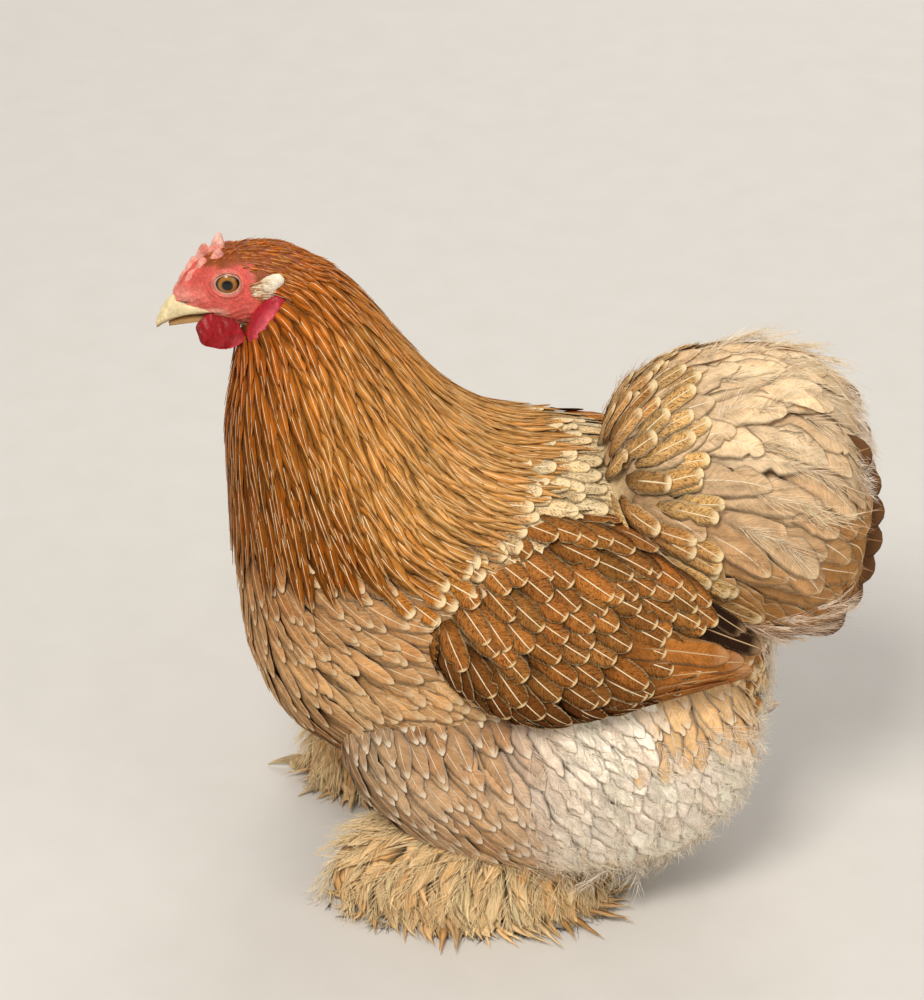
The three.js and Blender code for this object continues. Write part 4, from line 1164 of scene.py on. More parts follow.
def thigh_feathers(side):
    """Rounded greyish buff feathers in front, that turn to soft whitish fluff behind."""
    thigh = thighs[side]
    outer = lambda t, angle, p: p[:, 1] * side > 22
    t, angle, p = scatter(thigh, (0.4, 5.9), 8.8, outer)
    back = behindness(angle)
    tint = blend(PINK_BUFF, GREY_BUFF, 0.5 + 0.5 * ripple(p, 40))
    # Painted shade: the same buff, darker along the thigh's front line.
    tint = tint * (1 - 0.3 * smooth(back, 0.2, 0.0))[:, None]
    tint = blend(tint, WHITE, smooth(back, 0.3, 0.52))
    tint = blend(tint, BOOT_PALE, smooth(t, 3.2, 5.0) * 0.8)
    golden = golden_band(p)
    tint = root_tints(p, varied(blend(tint, BAND_GOLD, golden), 0.06))
    front = (back < 0.62) | (golden > 0.5)
    style = {
        "rise": 0.6, "sink": 3, "curl": 0.4, "roof": 0.03, "roll": 0.06, "stray": 0.1, "stations": 10,
        "ragged": 0.25, "notch": 0.1, "round_from": 0.55, "tip": 1.6, "lift_vary": 0.15, "thick": 0.15,
    }
    sway = -side * 0.6 * (1 - golden)
    vanes, down = (
        feathers(thigh, t[part], angle[part], tint[part], length=36, width=width, sway=sway[part], **style)
        for part, width in ((front, 15), (~front, 18))
    )

    def soft_part(t, angle, p):
        return outer(t, angle, p) & ((behindness(angle) > 0.44) | (t > 4.5)) & (golden_band(p) < 0.5)

    t, angle, _ = scatter(thigh, (0.6, 5.9), 7.4, soft_part)
    tint = blend(GREY_BUFF, WHITE, smooth(behindness(angle), 0.35, 0.5))
    tint = blend(tint, BOOT_PALE, smooth(t, 3.6, 5.4) * 0.7)
    soft = plumes(
        thigh, t, angle, varied(tint, 0.05), 24, 15, 10, thick=0.24, lift=0.06, sink=-0.5,
        sway=-side * 0.6,
    )
    t, angle, _ = scatter(thigh, (4.5, 5.9), 9.5, outer)
    tint = varied(blend(BOOT_PALE, WHITE, smooth(behindness(angle), 0.3, 0.6)), 0.05)
    skirt = plumes(
        thigh, t, angle, tint, 40, 16, 17, thick=0.28, lift=0.25, sink=-0.5, sway=-side * 0.3
    )
    return vanes, down, [soft, skirt]


def vent_fluff():
    """Soft whitish down under the tail and between the legs."""
    def low(t, angle, p):
        good = ((behindness(angle) > 0.3) | (t > 9)) & ~((np.abs(p[:, 1]) > 48) & (p[:, 2] > 116))
        return good & clear_of(10, *thigh_trees.values(), tail_tree)(t, angle, p)

    t, angle, p = scatter(body, (7.6, 12), 9, low)
    t2, angle2, p2 = scatter(tail, (0.2, 4.2), 10.5, clear_of(6, torso_tree), UNDERSIDE)
    tint = root_tints(p, varied(blend(WHITE, TAN, smooth(ripple(p, 60), -0.2, 0.8) * 0.5), 0.06))
    tint2 = root_tints(p2, varied(blend(WHITE, TAN, np.full(len(p2), 0.25)), 0.06))
    vane = {"length": 34, "width": 17, "rise": 0.6, "roof": 0.03, "ragged": 0.25, "notch": 0.12, "tip": 1.6}
    loose = {"thick": 0.26, "lift": 0.12, "sink": -0.4, "curl": 0.4}
    down = [feathers(body, t, angle, tint, **vane), feathers(tail, t2, angle2, tint2, **vane)]
    soft = [
        plumes(body, t, angle, tint, 26, 15, 12, **loose),
        plumes(tail, t2, angle2, tint2, 24, 15, 12, **loose),
    ]
    return down, soft


def boot_feathers(side):
    """Stiff and loose golden feathers that cover the shank and spread over the toes."""
    boot = boots[side]
    t, angle, p = scatter(boot, (0.1, 3.7), 6.2)
    tint = varied(blend(BOOT_GOLD, BOOT_PALE, 0.7 + 0.6 * ripple(p, 30)), 0.1)
    # Painted shade: a darker copy of the boot gold toward the rear of the boot.
    tint = blend(tint, BOOT_GOLD * 0.55, 0.7 * smooth(behindness(angle), 0.6, 0.95))
    outward = side * np.where(np.sin(angle) * side > 0, 0.25, 0.0) * -np.cos(angle)
    tufts = feathers(
        boot, t, angle, tint, length=29, width=6.5, rise=1.2, sink=4, curl=1.2, roof=0.08, roll=0.2,
        stray=0.17, bend=0.14, stations=8, strips=1, ragged=0.3, notch=0.15, round_from=0.3, tip=1.1,
        lift_vary=1.2, sway=outward,
    )
    t, angle, p = scatter(boot, (0.0, 2.7), 9)
    tint = root_tints(p, varied(blend(BOOT_GOLD, BOOT_PALE, 0.5 + 0.5 * ripple(p, 30)), 0.06))
    vanes = feathers(
        boot, t, angle, tint, length=30, width=14, rise=0.8, sink=4, curl=0.8, roof=0.04, roll=0.1,
        stray=0.15, bend=0.1, stations=9, ragged=0.3, notch=0.2, round_from=0.5, tip=1.4, lift_vary=0.4,
    )
    t, angle, p = scatter(boot, (0.0, 3.6), 9)
    tint = varied(blend(BOOT_PALE, CREAM, 0.5 + 0.5 * ripple(p, 25)), 0.06)
    soft = plumes(boot, t, angle, tint, 26, 15, 15, thick=0.28, lift=0.12, sink=-0.5)
    return [vanes, tufts], soft


def bare_face(forward, out, up):
    """True on the bare red face: round the eye, the lore, and down to the ear lobe."""
    cheek = (forward > -15.5) & (up < 8) & (up > -26 + 0.25 * forward)
    return cheek | (forward > 13) | ((forward > 7) & (up < 9))


def crown_feathers():
    """Short narrow feathers from behind the comb back over the head, and on the cheeks."""
    def clothed(t, angle, p):
        return ~bare_face(*head_place(p))

    t, angle, p = scatter(head, (-0.4, 4.6), 2.5, clothed)
    forward, out, _ = head_place(p)
    back = smooth(forward, 6, -34)
    tint = blend(CROWN_RED, GOLD, clamp(0.35 + 0.5 * ripple(p, 14)) * 0.6)
    tint = root_tints(p, varied(tint, 0.14))
    droop = -np.sign(out) * 0.35 * smooth(np.abs(out), 4, 16)
    return feathers(
        head, t, angle, tint, length=7.5 + 11 * back, width=3.4 + 1.8 * back, rise=0.6, sink=1.0,
        curl=0.3, roof=0.12, roll=0.12, stray=0.12, sway=math.pi + droop, stations=7, strips=1,
        ragged=0.25, round_from=0.35, tip=1.2, lift_vary=0.2, thick=0.2, full_from=0.4,
    )


def face_bristles():
    """Ear tufts of stiff cream bristles, and ginger fuzz on the cheek and over the brow."""
    bundles = []
    for side in (LEFT, RIGHT):
        n = 260
        spot = draw.normal(0, 1, (n, 2)).clip(-1.7, 1.7)
        forward, up = -15.0 + 1.8 * spot[:, 0], -4.5 + 2.6 * spot[:, 1]
        root = head_point(forward, side * (21.5 - 0.15 * np.abs(spot[:, 0])), up)
        outward = side * (0.12 + 0.2 * draw.random(n))
        aim = np.stack([0.95 + 0.1 * spot[:, 0], outward, 0.3 + 0.06 * spot[:, 1]], 1)
        heading = unit(aim + draw.normal(0, 0.09, (n, 3)))
        ginger = smooth(draw.random(n) + 0.25 * spot[:, 0], 0.4, 0.9)
        tint = varied(blend(colour("F6E8CE"), colour("B9783E"), ginger * 0.9), 0.05)
        length = draw.uniform(4.5, 8, n)
        bend = draw.normal(0, 0.4, (n, 3))
        spots = np.full(n, 1.5), np.full(n, side * 1.4)
        bundles.append(strands(head, *spots, root, heading, bend, length, 0.42, tint))
    t, angle, p = scatter(head, (0.5, 5.6), 1.9)
    forward, out, up = head_place(p)
    fuzz = ((up < -13) & (up > -30) & (forward < 16)) | ((up > 5) & (up < 12) & (forward < 7))
    fuzz |= (forward < -13) & (forward > -22) & (up > -16)
    fuzz &= np.abs(out) > 3
    t, angle, p = t[fuzz], angle[fuzz], p[fuzz]
    _, run, _, out_way, _, _ = head.lie(t, angle)
    n = len(t)
    heading = unit(-run * 0.9 + out_way * 0.35 + draw.normal(0, 0.2, (n, 3)))
    tint = varied(blend(colour("A85A2A"), colour("D9A070"), draw.random(n)), 0.12)
    bundles.append(strands(
        head, t, angle, p - out_way * 0.3, heading, draw.normal(0, 0.4, (n, 3)), draw.uniform(2, 4.2, n),
        0.13, tint,
    ))
    return bundles


def throat_feathers():
    """Pale quill-like feathers in the shadow behind the wattles."""
    t, angle, _ = scatter(head, (0.0, 4.4), 3.2, angle_range=UNDERSIDE)
    tint = varied(blend(colour("8A5A34"), colour("D8BC94"), draw.random(len(t))), 0.15)
    return feathers(
        head, t, angle, tint, length=13, width=2.6, rise=0.8, sink=1, curl=1.2, roof=0.3, roll=0.2,
        stray=0.2, sway=math.pi, stations=7, ragged=0.2, round_from=0.4, tip=1.0, thick=0.2,
    )


# The head's bare parts

COMB_PINK, COMB_PALE = colour("DC7A6A"), colour("F4C4B4")
LID_EDGE = colour("D09A84")
IVORY, HORN_AMBER = colour("E6D3A4"), colour("9A6A34")
FACE_REDS = {
    "plain": colour("D4564A"),
    "pale": colour("F09A8C"),
    "deep": colour("9A1E18"),
    "lid": colour("D86A5C"),
    "cream": colour("F0D2B8"),
}


def face_skin():
    """The head: sockets, ringed lids, brow, gape fold and the fleshy bump over each nostril."""
    rows, sides = 150, 220
    p, _, _, normal, _, _ = head.lie(*grid(rows, sides, head.last))
    forward, out, up = head_place(p)
    hand = np.where(out < 0, -1.0, 1.0)
    eye = np.hypot((forward - EYE["forward"]) / EYE["half_length"], (up - EYE["up"]) / EYE["half_height"])
    rings = 1.7 * hump(eye, 1.22, 0.16) + 0.5 * hump(eye, 1.66, 0.12)
    rings += 0.32 * hump(eye, 2.0, 0.1) - 0.35 * hump(eye, 1.4, 0.09)
    nose = np.hypot((forward - 25.5) / 7.5, (up + 6.8) / 4.6)
    slit = np.hypot((forward - 28) / 4.4, (up + 10.6 + 0.25 * (forward - 28)) / 1.0)
    gape = np.hypot((forward - 9) / 5.5, (up + 15.5) / 2.2)
    cheek = np.hypot((forward + 4) / 13, (up + 16) / 8)
    brow = hump(up + 0.05 * forward, 9.5, 2.0) * smooth(np.abs(forward - 2), 16, 6)
    side_share = smooth(np.abs(normal[:, 1]), 0.25, 0.7)
    height = rings * side_share + 0.9 * brow * side_share
    height += 2.0 * hump(nose) * smooth(np.abs(out), 1, 4) - 1.2 * hump(slit)
    height += 0.9 * hump(gape) + 0.9 * hump(cheek) * side_share
    folds = np.sin(1.9 * up + 0.5 * forward + 1.4 * np.sin(0.35 * forward))
    loose = smooth(forward, -22, -6) * smooth(eye, 1.9, 2.4) * side_share
    height += 0.22 * folds * loose
    height += 0.16 * ripple(p, 5.0) + 0.1 * ripple(p, 2.6, 3.0)
    mouth = smooth(np.abs(up + 17.2), 1.0, 0.1) * smooth(forward, 6, 10)
    height -= 1.1 * mouth
    p = p + normal * height[:, None]
    reach = np.maximum(EYE["radius"] ** 2 - (forward**2 + (up - EYE["up"]) ** 2), 0) ** 0.5
    under_ball = EYE["out"] + reach - 0.7
    opened = 1 - smooth(eye, 0.97, 1.1)
    near_eye = (np.abs(normal[:, 1]) > 0.3) & (eye < 1.2)
    over_ball = hand * np.maximum(under_ball + 1.7, np.abs(p[:, 1]))
    p[:, 1] = np.where(reach > 0, over_ball, p[:, 1])
    target = hand * np.minimum(under_ball, np.abs(p[:, 1]))
    p[:, 1] = np.where(near_eye, p[:, 1] + (target - p[:, 1]) * opened, p[:, 1])
    reds = FACE_REDS
    tint = np.tile(reds["plain"], (len(p), 1))
    tint = blend(tint, reds["pale"], 0.8 * hump(nose) + 0.25 * smooth(ripple(p, 9), 0, 1))
    tint = blend(tint, reds["lid"], hump(eye, 1.2, 0.22))
    tint = blend(tint, reds["deep"], 0.6 * smooth(up, -14, -24) * smooth(forward, -8, 6))
    # Painted shade: a near-black red in the sunken nostril slit and along the mouth's crease.
    tint = blend(tint, reds["deep"] * 0.35, hump(slit) * 1.3 + 0.8 * mouth)
    tint = blend(tint, reds["cream"], 0.75 * hump(eye, 1.0, 0.07) * side_share)
    # Painted shade: the skin inside the lids' opening, set back behind them, is near-black red.
    tint = blend(tint, reds["deep"] * 0.3, smooth(eye, 0.95, 0.85))
    tint = blend(tint, reds["cream"], 0.55 * hump(gape))
    clothed = smooth(forward, -13, -17) + smooth(up, 7.5, 10) * smooth(forward, 14, 11)
    tint = blend(tint, CROWN_RED * 0.7, clothed)
    return *tube(p.reshape(rows, sides, 3)), np.concatenate([tint, tint[[0, -1]]])


def eye_ball(side):
    """A round eye. Its attribute holds the distance from its own axis and the turn about it."""
    rows, sides = 72, 72
    polar = np.linspace(0.02, math.pi - 0.02, rows)
    turn = turns(sides)
    away = EYE["radius"] * np.sin(polar)[:, None] * np.ones(sides)
    out = EYE["out"] + EYE["radius"] * np.cos(polar)[:, None] * np.ones(sides)
    out = out + 0.55 * hump(away, 0, 4.4) * (np.cos(polar)[:, None] > 0)
    forward = EYE["forward"] + away * np.cos(turn)
    up = EYE["up"] + away * np.sin(turn)
    rings = head_point(forward, side * out, up)
    points, triangles = tube(rings if side > 0 else rings[:, ::-1])
    spots = np.stack([away, np.broadcast_to(turn * 3, away.shape), np.zeros_like(away)], 2)
    spots = spots if side > 0 else spots[:, ::-1]
    spots = np.concatenate([spots.reshape(-1, 3), np.zeros((1, 3)), [[8.5, 0, 0]]])
    return points, triangles, spots


def lid_edge(side):
    """The thin pale wet edge round the eye's opening."""
    rows, sides = 96, 10
    turn = turns(rows)
    ring = turns(sides)
    forward = EYE["half_length"] * 0.97 * np.cos(turn)
    up = EYE["half_height"] * 0.97 * np.sin(turn)
    out = EYE["out"] + np.sqrt(EYE["radius"] ** 2 - forward**2 - up**2) + 0.35
    middle = np.stack([forward, out, up], 1)
    way = unit(np.stack([np.cos(turn), 0.3 * np.ones(rows), np.sin(turn)], 1))
    thick = 0.5 + 0.12 * np.sin(3 * turn + 1)
    offsets = way[:, None] * np.cos(ring)[None, :, None]
    offsets = offsets + np.array([0, 1.0, 0]) * np.sin(ring)[None, :, None]
    at = middle[:, None] + offsets * thick[:, None, None]
    points = head_point(EYE["forward"] + at[..., 0], side * at[..., 1], EYE["up"] + at[..., 2])
    i, k = np.meshgrid(np.arange(rows), np.arange(sides), indexing="ij")
    a, b = (i * sides + k).ravel(), (i * sides + (k + 1) % sides).ravel()
    d, c = ((i + 1) % rows * sides + k).ravel(), ((i + 1) % rows * sides + (k + 1) % sides).ravel()
    faces = np.concatenate([np.stack([a, b, c], 1), np.stack([a, c, d], 1)])
    return points.reshape(-1, 3), faces if side < 0 else faces[:, ::-1]


def bill_loft(sections, sharpen, pinch):
    """A bill half: rounded ridge, flattened sides and a sharp edge toward the mouth."""
    surface = Loft(head_ribs(sections))
    rows, sides = 60, 72
    t, angle = grid(rows, sides, surface.last)
    p, _, _, normal, _, _ = surface.lie(t, angle)
    ridge = np.maximum(np.cos(angle), 0) if pinch > 0 else np.maximum(-np.cos(angle), 0)
    p[:, 1] *= 1 - abs(pinch) * ridge**1.5
    edge = hump(np.abs(np.sin(angle / 2)), sharpen, 0.12)
    p = p + normal * (0.35 * edge - 0.2 + 0.12 * ripple(p, 4.0))[:, None]
    points, triangles = tube(p.reshape(rows, sides, 3))
    along = np.concatenate([t * 6, [0, surface.last * 6]])
    barb = np.stack([along, np.append(np.sin(angle) * 2, [0, 0]), np.zeros(len(points))], 1)
    return points, triangles, barb


def comb_lumps():
    """Three low rows of blunt lumps that run together, the middle row highest."""
    parts = []
    for out in (-COMB_SIDE["out"], 0, COMB_SIDE["out"]):
        share = COMB_SIDE["share"] if out else 1
        for forward, up, length, thick in COMB_ROW[COMB_SIDE["first"] if out else 0 :]:
            rows, sides = 16, 18
            s = np.linspace(0, 1, rows)[:, None]
            ring = turns(sides)
            size = thick * np.sqrt(np.maximum(1 - s**2.2, 0.001)) * (1 - 0.25 * s)
            lean = -0.35 * length * share * s**1.5
            f = forward + lean + size * 1.15 * np.cos(ring)
            o = out * (1 + 0.15 * s) + size * 0.62 * np.sin(ring)
            u = up - abs(out) * 0.35 - 4 + (length * share + 4) * s + 0 * ring
            parts.append(tube(head_point(f, o, u)))
    points, triangles = melted(*joined(parts), 0.55, 4)
    bumps = 0.35 * ripple(points, 3.2) + 0.2 * ripple(points, 1.6, 2.0)
    return points + unit(points - points.mean(0)) * bumps[:, None], triangles


WATTLE_LEVELS = [
    [-17, 12, 9, 1.2, 9],
    [-19, 18, 5, 2.4, 10],
    [-24, 22.5, 0, 3.2, 12],
    [-29.5, 23, -3, 3.4, 13.5],
    [-34, 19.5, -2, 3.2, 13.5],
    [-37.5, 13, 3, 2.2, 13],
    [-38.6, 9, 7, 0.8, 13.4],
]


def wattle(side):
    """A hanging leaf of red skin with soft folds down it."""
    rows, sides = 60, 72
    levels = np.array([row + [0, 0] for row in WATTLE_LEVELS], float)
    guide = Loft(levels)
    grid_t = np.linspace(0, guide.last, rows)
    level = guide.row(grid_t)
    up, front, rear, thick, out = (level[:, k, None] for k in range(5))
    angle = turns(sides)[None]
    cup = 2.6 * np.cos(angle) ** 2
    forward = (front + rear) / 2 + np.cos(angle) * (front - rear) / 2
    folds = 0.9 * np.sin(forward * 0.55 + 0.3 * up) + 0.4 * np.sin(forward * 1.3 - 0.4 * up + 1)
    forward = forward + 0.9 * np.sin(0.5 * up) * np.cos(angle)
    place = side * (out + cup + np.sin(angle) * (thick + 0.9 * folds))
    points, triangles = tube(head_point(forward, place, up + 0 * angle))
    forward, _, up = head_place(points)
    # Painted highlight: pinker on the lower rear part of the wattle.
    tint = blend(colour("9A0814"), colour("D04852"), smooth(up, -28, -38) * smooth(forward, 14, 2) * 0.8)
    tint = blend(tint, colour("64060C"), smooth(forward, 17, 24) * 0.7)
    return points, triangles if side > 0 else triangles[:, ::-1], tint


def leaf(side, size, place, slope, rim):
    """A thick leaf beside the head, with a raised line down its middle."""
    rows, sides = 48, 48
    long, wide, thick = size
    s = np.linspace(0.02, math.pi - 0.02, rows)[:, None]
    ring = turns(sides)[None]
    a = long * np.cos(s) + 0 * ring
    b = wide * np.sin(s) ** 0.8 * np.cos(ring)
    c = thick * np.sin(s) * np.sin(ring)
    c = c + rim * hump(b, 0, 1.8) * np.sin(s) * np.sign(np.sin(ring)) - 0.02 * b**2
    forward, out, up = place
    f = forward + a * math.cos(slope) - b * math.sin(slope)
    u = up - a * math.sin(slope) - b * math.cos(slope)
    points, triangles = tube(head_point(f, side * (out + c), u))
    return points, triangles if side < 0 else triangles[:, ::-1]


def ear_lobe(side):
    """A red leaf behind the jaw."""
    points, triangles = leaf(side, (16, 8, 3.4), (-17, 22.5, -22), 0.86, 1.1)
    _, out, _ = head_place(points)
    return points, triangles, blend(colour("A81626"), colour("E0606C"), smooth(np.abs(out), 24, 27.5))


def ear_pad(side):
    """The smooth oval of cream down over the ear, rising to the rear."""
    points, triangles = leaf(side, (8.2, 4.6, 2.8), (-23, 20.4, -2), 0.38, 0.0)
    forward, _, _ = head_place(points)
    points = points + 0.25 * ripple(points, 3.0)[:, None]
    return points, triangles, blend(colour("F7EAD2"), colour("C08448"), smooth(forward, -20, -14) * 0.8)


# Feet

SHANK_BUFF, TOE_BUFF, TOE_BROWN = colour("C9A66A"), colour("D8BE8C"), colour("8E7250")
CLAW_BUFF, CLAW_BROWN = colour("CBB48A"), colour("7A6244")


def foot_frame(side, forward, out, up, toe_turn=0):
    """Points given forward, out and up from a foot's middle, on a toe turned by some degrees."""
    foot, c, s = FEET[side], math.cos(math.radians(toe_turn)), side * math.sin(math.radians(toe_turn))
    forward, out = forward * c - out * s, forward * s + out * c
    c, s = math.cos(math.radians(foot["turn"])), math.sin(math.radians(foot["turn"]))
    x = foot["x"] - forward * c + out * s
    y = side * foot["y"] + forward * s + out * c
    return np.stack(np.broadcast_arrays(x, y, up), -1)


def toe(side, turn, length, thickness):
    """A scaly toe: overlapping scutes on top and knuckles along it, on a flat sole."""
    rows, sides = 110, 40
    share = np.linspace(0, 1, rows)[:, None]
    angle = turns(sides)[None]
    count = round(length / 3.6)
    scute = (share * count + 0.12 * np.cos(angle)) % 1
    top = smooth(np.cos(angle), 0.0, 0.6)
    swell = 1 + 0.1 * np.cos(share * 4 * math.pi)
    size = thickness * (1 - 0.3 * share) * swell + 0.55 * scute**2 * top
    pebbles = 0.2 * np.sin(share * count * 9) * np.sin(angle * 9) * (1 - top)
    size = size + pebbles
    close = np.minimum(1, np.sqrt(np.clip((1.03 - share) * 14, 0.05, 1)))
    size = size * close
    forward = 2 + (length - 2) * share
    up = np.maximum(0.25, thickness * (0.86 - 0.24 * share) + np.cos(angle) * size)
    return tube(foot_frame(side, forward, np.sin(angle) * size, up, turn))


def claw_of(side, turn, length):
    """A curved claw at the end of a toe."""
    rows, sides = 30, 24
    share = np.linspace(0, 1, rows)[:, None]
    angle = turns(sides)[None]
    forward = length - 3 + (CLAW["length"] + 3) * share
    middle = CLAW["radius"] + 2.2 - 4.4 * share**2
    size = CLAW["radius"] * (1 - 0.9 * share**1.2) * (1 + 0.03 * np.sin(share * 40))
    up = np.maximum(0.3, middle + np.cos(angle) * size)
    points, triangles = tube(foot_frame(side, forward, np.sin(angle) * size * 0.75, up, turn))
    barb = np.stack([np.append(np.repeat(share * 17, sides), [0, 17]), points[:, 1], points[:, 2]], 1)
    return points, triangles, barb


def foot_skin(side):
    """The shank and the toes' root pad, under the boot's feathers."""
    rows, sides = 40, 32
    share = np.linspace(0, 1, rows)[:, None]
    angle = turns(sides)[None]
    size = 12 - 3.5 * np.sin(share * math.pi) + 0.5 * ((share * 12) % 1) * (np.cos(angle) > 0)
    up = 0.3 + 84 * share + 0 * angle
    rings = foot_frame(side, size * np.cos(angle), size * np.sin(angle) * 0.85, up)
    return tube(rings[::-1])


# Dressing

def build_coat():
    """Every piece of feathers, down and bristles, each with its material and the node it stands for."""
    coat_piece("hackle", [neck_hackle()], shade_hackle, "hackle_feathers", "neck")
    coat_piece("crown", [crown_feathers(), throat_feathers()], shade_hackle, "hackle_feathers")
    coat_piece("face_bristles", face_bristles(), shade_strand, "ear_down")
    coat_piece("breast", [breast_feathers()], shade_breast, "body_feathers")
    coat_piece("flanks", [flank_feathers()], shade_breast, "body_feathers")
    coat_piece("back", [back_feathers()], shade_saddle, "body_feathers")
    coat_piece("tail_cushion", [tail_cushion()], shade_cushion, "tail_feathers", "tail")
    coat_piece("tail_front", [tail_front()], shade_saddle, "tail_feathers")
    coat_piece("tail_plumes", tail_plumes(), shade_strand, "tail_feathers")
    coat_piece("tail_main", main_feathers(), shade_main, "tail_feathers")
    down, soft = vent_fluff()
    coat_piece("vent_down", down, shade_down, "fluff")
    coat_piece("vent_fluff", soft, shade_strand, "fluff")
    for side, name in SIDE_NAMES.items():
        coverts = [wing_coverts(side)]
        coat_piece(f"wing_coverts_{name}", coverts, shade_covert, "wing_feathers", f"wing_{name}")
        coat_piece(f"wing_flight_{name}", wing_flight(side), shade_flight, "wing_feathers")
        vanes, down, soft = thigh_feathers(side)
        coat_piece(f"thigh_feathers_{name}", [vanes], shade_thigh, "fluff", f"thigh_{name}")
        coat_piece(f"thigh_down_{name}", [down], shade_down, "fluff")
        coat_piece(f"thigh_fluff_{name}", soft, shade_strand, "fluff")
        vanes, soft = boot_feathers(side)
        coat_piece(f"boot_feathers_{name}", vanes, shade_boot, "boot_feathers", f"shank_{name}")
        coat_piece(f"boot_fluff_{name}", [soft], shade_strand, "boot_feathers")


def build_skin():
    """One skin under the whole coat, in the colours of the nearest roots."""
    forms = [(body, 60, 64, 4), (tail, 40, 48, 5), (head, 20, 24, 2.5)]
    for side in (LEFT, RIGHT):
        forms += [(wings[side], 40, 32, 3.5), (thighs[side], 40, 40, 4.5), (boots[side], 24, 32, 6, 3.2)]
    points, triangles = melted(*joined([tube(loft_rings(*form)) for form in forms]), 3.0, 6)
    points[:, 2] = np.maximum(points[:, 2], 1.0)
    places, tints = (np.concatenate(part) for part in zip(*coat_roots))
    tree = KDTree(len(places))
    for i, place in enumerate(places):
        tree.insert(place, i)
    tree.balance()
    tint = np.array([np.mean([tints[i] for _, i, _ in tree.find_n(p, 4)], 0) for p in points])
    add_piece("skin", (points, triangles), skin_shade(), "fluff", "torso", coat=tint)


def build_comb():
    points, triangles = comb_lumps()
    _, _, up = head_place(points)
    tint = blend(COMB_PINK, COMB_PALE, 0.35 + 0.4 * ripple(points, 6) + smooth(up, 14, 24) * 0.4)
    flesh = flesh_shade("comb_flesh", 0.45, 700, 0.3, 0.5)
    add_piece("comb_lumps", (points, triangles), flesh, "comb_skin", "comb", coat=tint)


def build_bill():
    horn = horn_shade("bill_horn_streaked", 0.42, 1.6, 0.12)
    points, triangles, barb = bill_loft(UPPER_BILL, 0.9, 0.35)
    forward, _, up = head_place(points)
    edge = np.interp(forward, [s[0] for s in UPPER_BILL], [s[2] for s in UPPER_BILL])
    tint = blend(IVORY, HORN_AMBER, 0.85 * smooth(up - edge, 4.0, 0.5) + 0.15 * smooth(forward, 24, 17))
    add_piece("bill_horn_upper", (points, triangles), horn, "bill_horn", "bill_upper", coat=tint, barb=barb)
    points, triangles, barb = bill_loft(LOWER_BILL, 0.2, -0.3)
    tint = np.tile(blend(HORN_AMBER, IVORY, 0.15), (len(points), 1))
    add_piece("bill_horn_lower", (points, triangles), horn, "bill_horn", "bill_lower", coat=tint, barb=barb)


def build_head():
    """The bare parts of the head, with the comb, ears, wattles, lobes, eyes and bill."""
    *shape, tint = face_skin()
    add_piece("face", shape, flesh_shade("face_flesh", 0.5, 900, 0.35), "face_skin", "head", coat=tint)
    build_comb()
    wattle_flesh = flesh_shade("wattle_flesh", 0.4, 650, 0.25, 0.3)
    eye_glass = eye_shade()
    edge_flesh = flesh_shade("lid_edge_flesh", 0.35, 900, 0.1, 0.6)
    for side, name in SIDE_NAMES.items():
        *shape, tint = ear_pad(side)
        pad = flesh_shade(f"ear_down_{name}", 0.85, 1500, 0.5, 0.05)
        add_piece(f"ear_pad_{name}", shape, pad, "ear_down", f"ear_{name}", coat=tint)
        for kind, make in (("wattle", wattle), ("ear_lobe", ear_lobe)):
            *shape, tint = make(side)
            piece, node = f"{kind}_leaf_{name}", f"{kind}_{name}"
            add_piece(piece, shape, wattle_flesh, "wattle_skin", node, coat=tint)
        *shape, spots = eye_ball(side)
        add_piece(f"eye_ball_{name}", shape, eye_glass, "eye", f"eye_{name}", vane=spots)
        points, triangles = lid_edge(side)
        tint = np.tile(LID_EDGE, (len(points), 1))
        add_piece(f"lid_edge_{name}", (points, triangles), edge_flesh, "face_skin", coat=tint)
    build_bill()


def build_feet():
    """The shanks, and each toe with its claw."""
    scaly = flesh_shade("toe_scales", 0.6, 420, 0.35, 0.3)
    horn = horn_shade("claw_horn_streaked", 0.5, 2.0, 0.1)
    for side, name in SIDE_NAMES.items():
        points, triangles = foot_skin(side)
        tint = np.tile(SHANK_BUFF, (len(points), 1))
        add_piece(f"shank_skin_{name}", (points, triangles), scaly, "toe_skin", f"foot_{name}", coat=tint)
        for kind, (turn, length, radius) in TOES.items():
            points, triangles = toe(side, turn, length, radius)
            tint = blend(TOE_BUFF, TOE_BROWN, smooth(ripple(points, 12), -0.2, 0.8) * 0.6)
            piece = f"toe_scales_{name}_{kind}"
            add_piece(piece, (points, triangles), scaly, "toe_skin", f"toe_{name}_{kind}", coat=tint)
            points, triangles, barb = claw_of(side, turn, length)
            tint = blend(CLAW_BUFF, CLAW_BROWN, smooth(points[:, 2], 2, 7) * 0.6)
            piece, node = f"claw_horn_{name}_{kind}", f"claw_{name}_{kind}"
            add_piece(piece, (points, triangles), horn, "claw_horn", node, coat=tint, barb=barb)


# The studio, in metres

FLOOR_HALF = 6.0


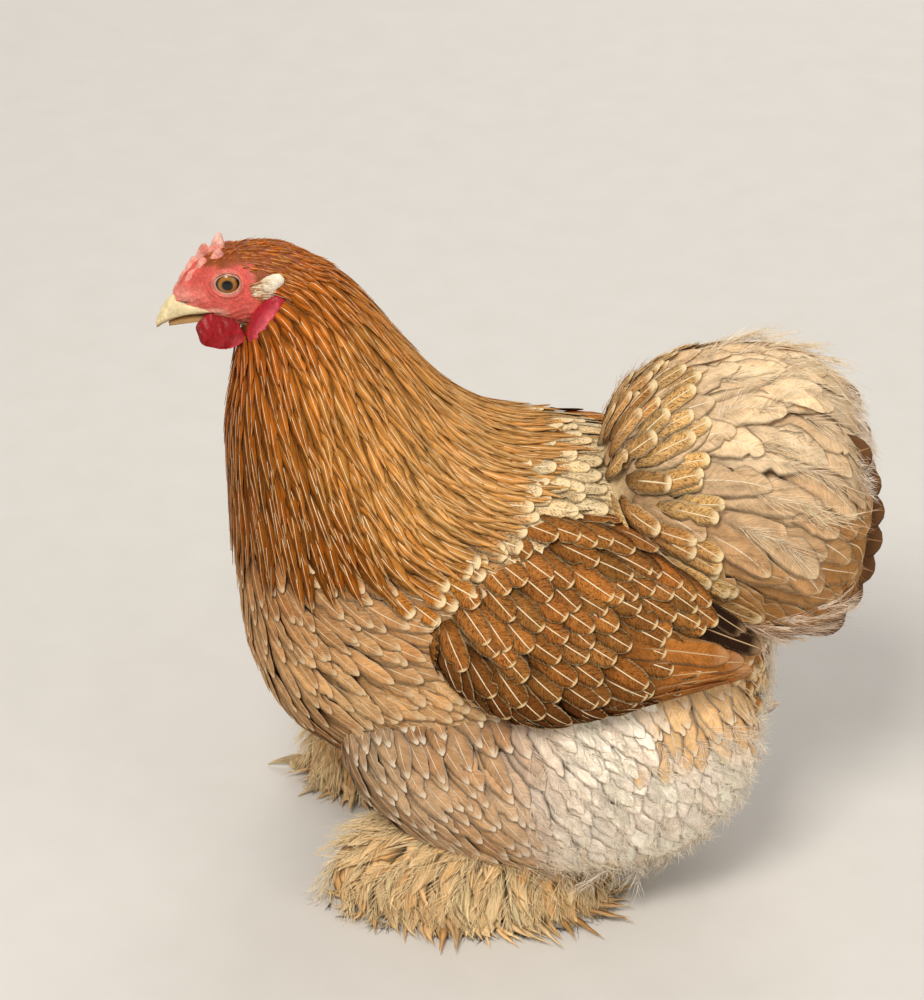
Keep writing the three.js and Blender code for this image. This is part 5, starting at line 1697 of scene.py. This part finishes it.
def build_stage():
    """The plain pale floor."""
    corners = [(x * FLOOR_HALF, y * FLOOR_HALF, 0) for x, y in ((-1, -1), (1, -1), (1, 1), (-1, 1))]
    mesh = bpy.data.meshes.new("floor")
    mesh.from_pydata(corners, [], [(0, 1, 2, 3)])
    floor = bpy.data.objects.new("floor", mesh)
    bpy.context.scene.collection.objects.link(floor)
    s = Shade("pale_floor")
    grain = s.noise(s.place(), 30.0, 3.0)
    tint = s.mix(grain, colour("CFCCC6"), colour("D6D3CE"))
    mesh.materials.append(s.finish(tint, s.bump(grain, 0.1, 0.2), Roughness=0.9, Specular_IOR_Level=0.1))


def add_light(name, place, aim, size, watts, tint):
    data = bpy.data.lights.new(name, "AREA")
    data.size = size
    data.energy = watts
    data.color = tint
    lamp = bpy.data.objects.new(name, data)
    lamp.location = place
    lamp.rotation_euler = (Vector(aim) - Vector(place)).to_track_quat("-Z", "Y").to_euler()
    bpy.context.scene.collection.objects.link(lamp)


def build_light():
    world = bpy.data.worlds.new("studio")
    bpy.context.scene.world = world
    world.use_nodes = True
    background = world.node_tree.nodes["Background"]
    background.inputs["Color"].default_value = (1.0, 0.97, 0.94, 1)
    background.inputs["Strength"].default_value = 0.5
    add_light("key", (-0.7, -1.8, 2.6), (0, 0, 0.2), 1.0, 70, (1.0, 0.95, 0.88))
    add_light("fill", (2.4, -1.8, 1.6), (0, 0, 0.2), 2.0, 18, (1.0, 0.97, 0.94))
    add_light("rear", (0.6, 2.2, 1.9), (0, 0, 0.25), 1.6, 26, (1.0, 0.97, 0.93))


def build_camera():
    data = bpy.data.cameras.new("camera")
    data.lens = VIEW["lens"]
    data.sensor_width = 36
    data.clip_start = 0.05
    camera = bpy.data.objects.new("camera", data)
    target = Vector(VIEW["target"]) * MM
    back = Vector((0, -math.cos(VIEW["elevation"]), math.sin(VIEW["elevation"])))
    camera.location = target + back * VIEW["distance"] * MM
    camera.rotation_euler = (-back).to_track_quat("-Z", "Y").to_euler()
    bpy.context.scene.collection.objects.link(camera)
    bpy.context.scene.camera = camera


bpy.context.scene.view_settings.view_transform = "Standard"
build_camera()
build_light()
build_stage()
build_coat()
build_skin()
build_head()
build_feet()
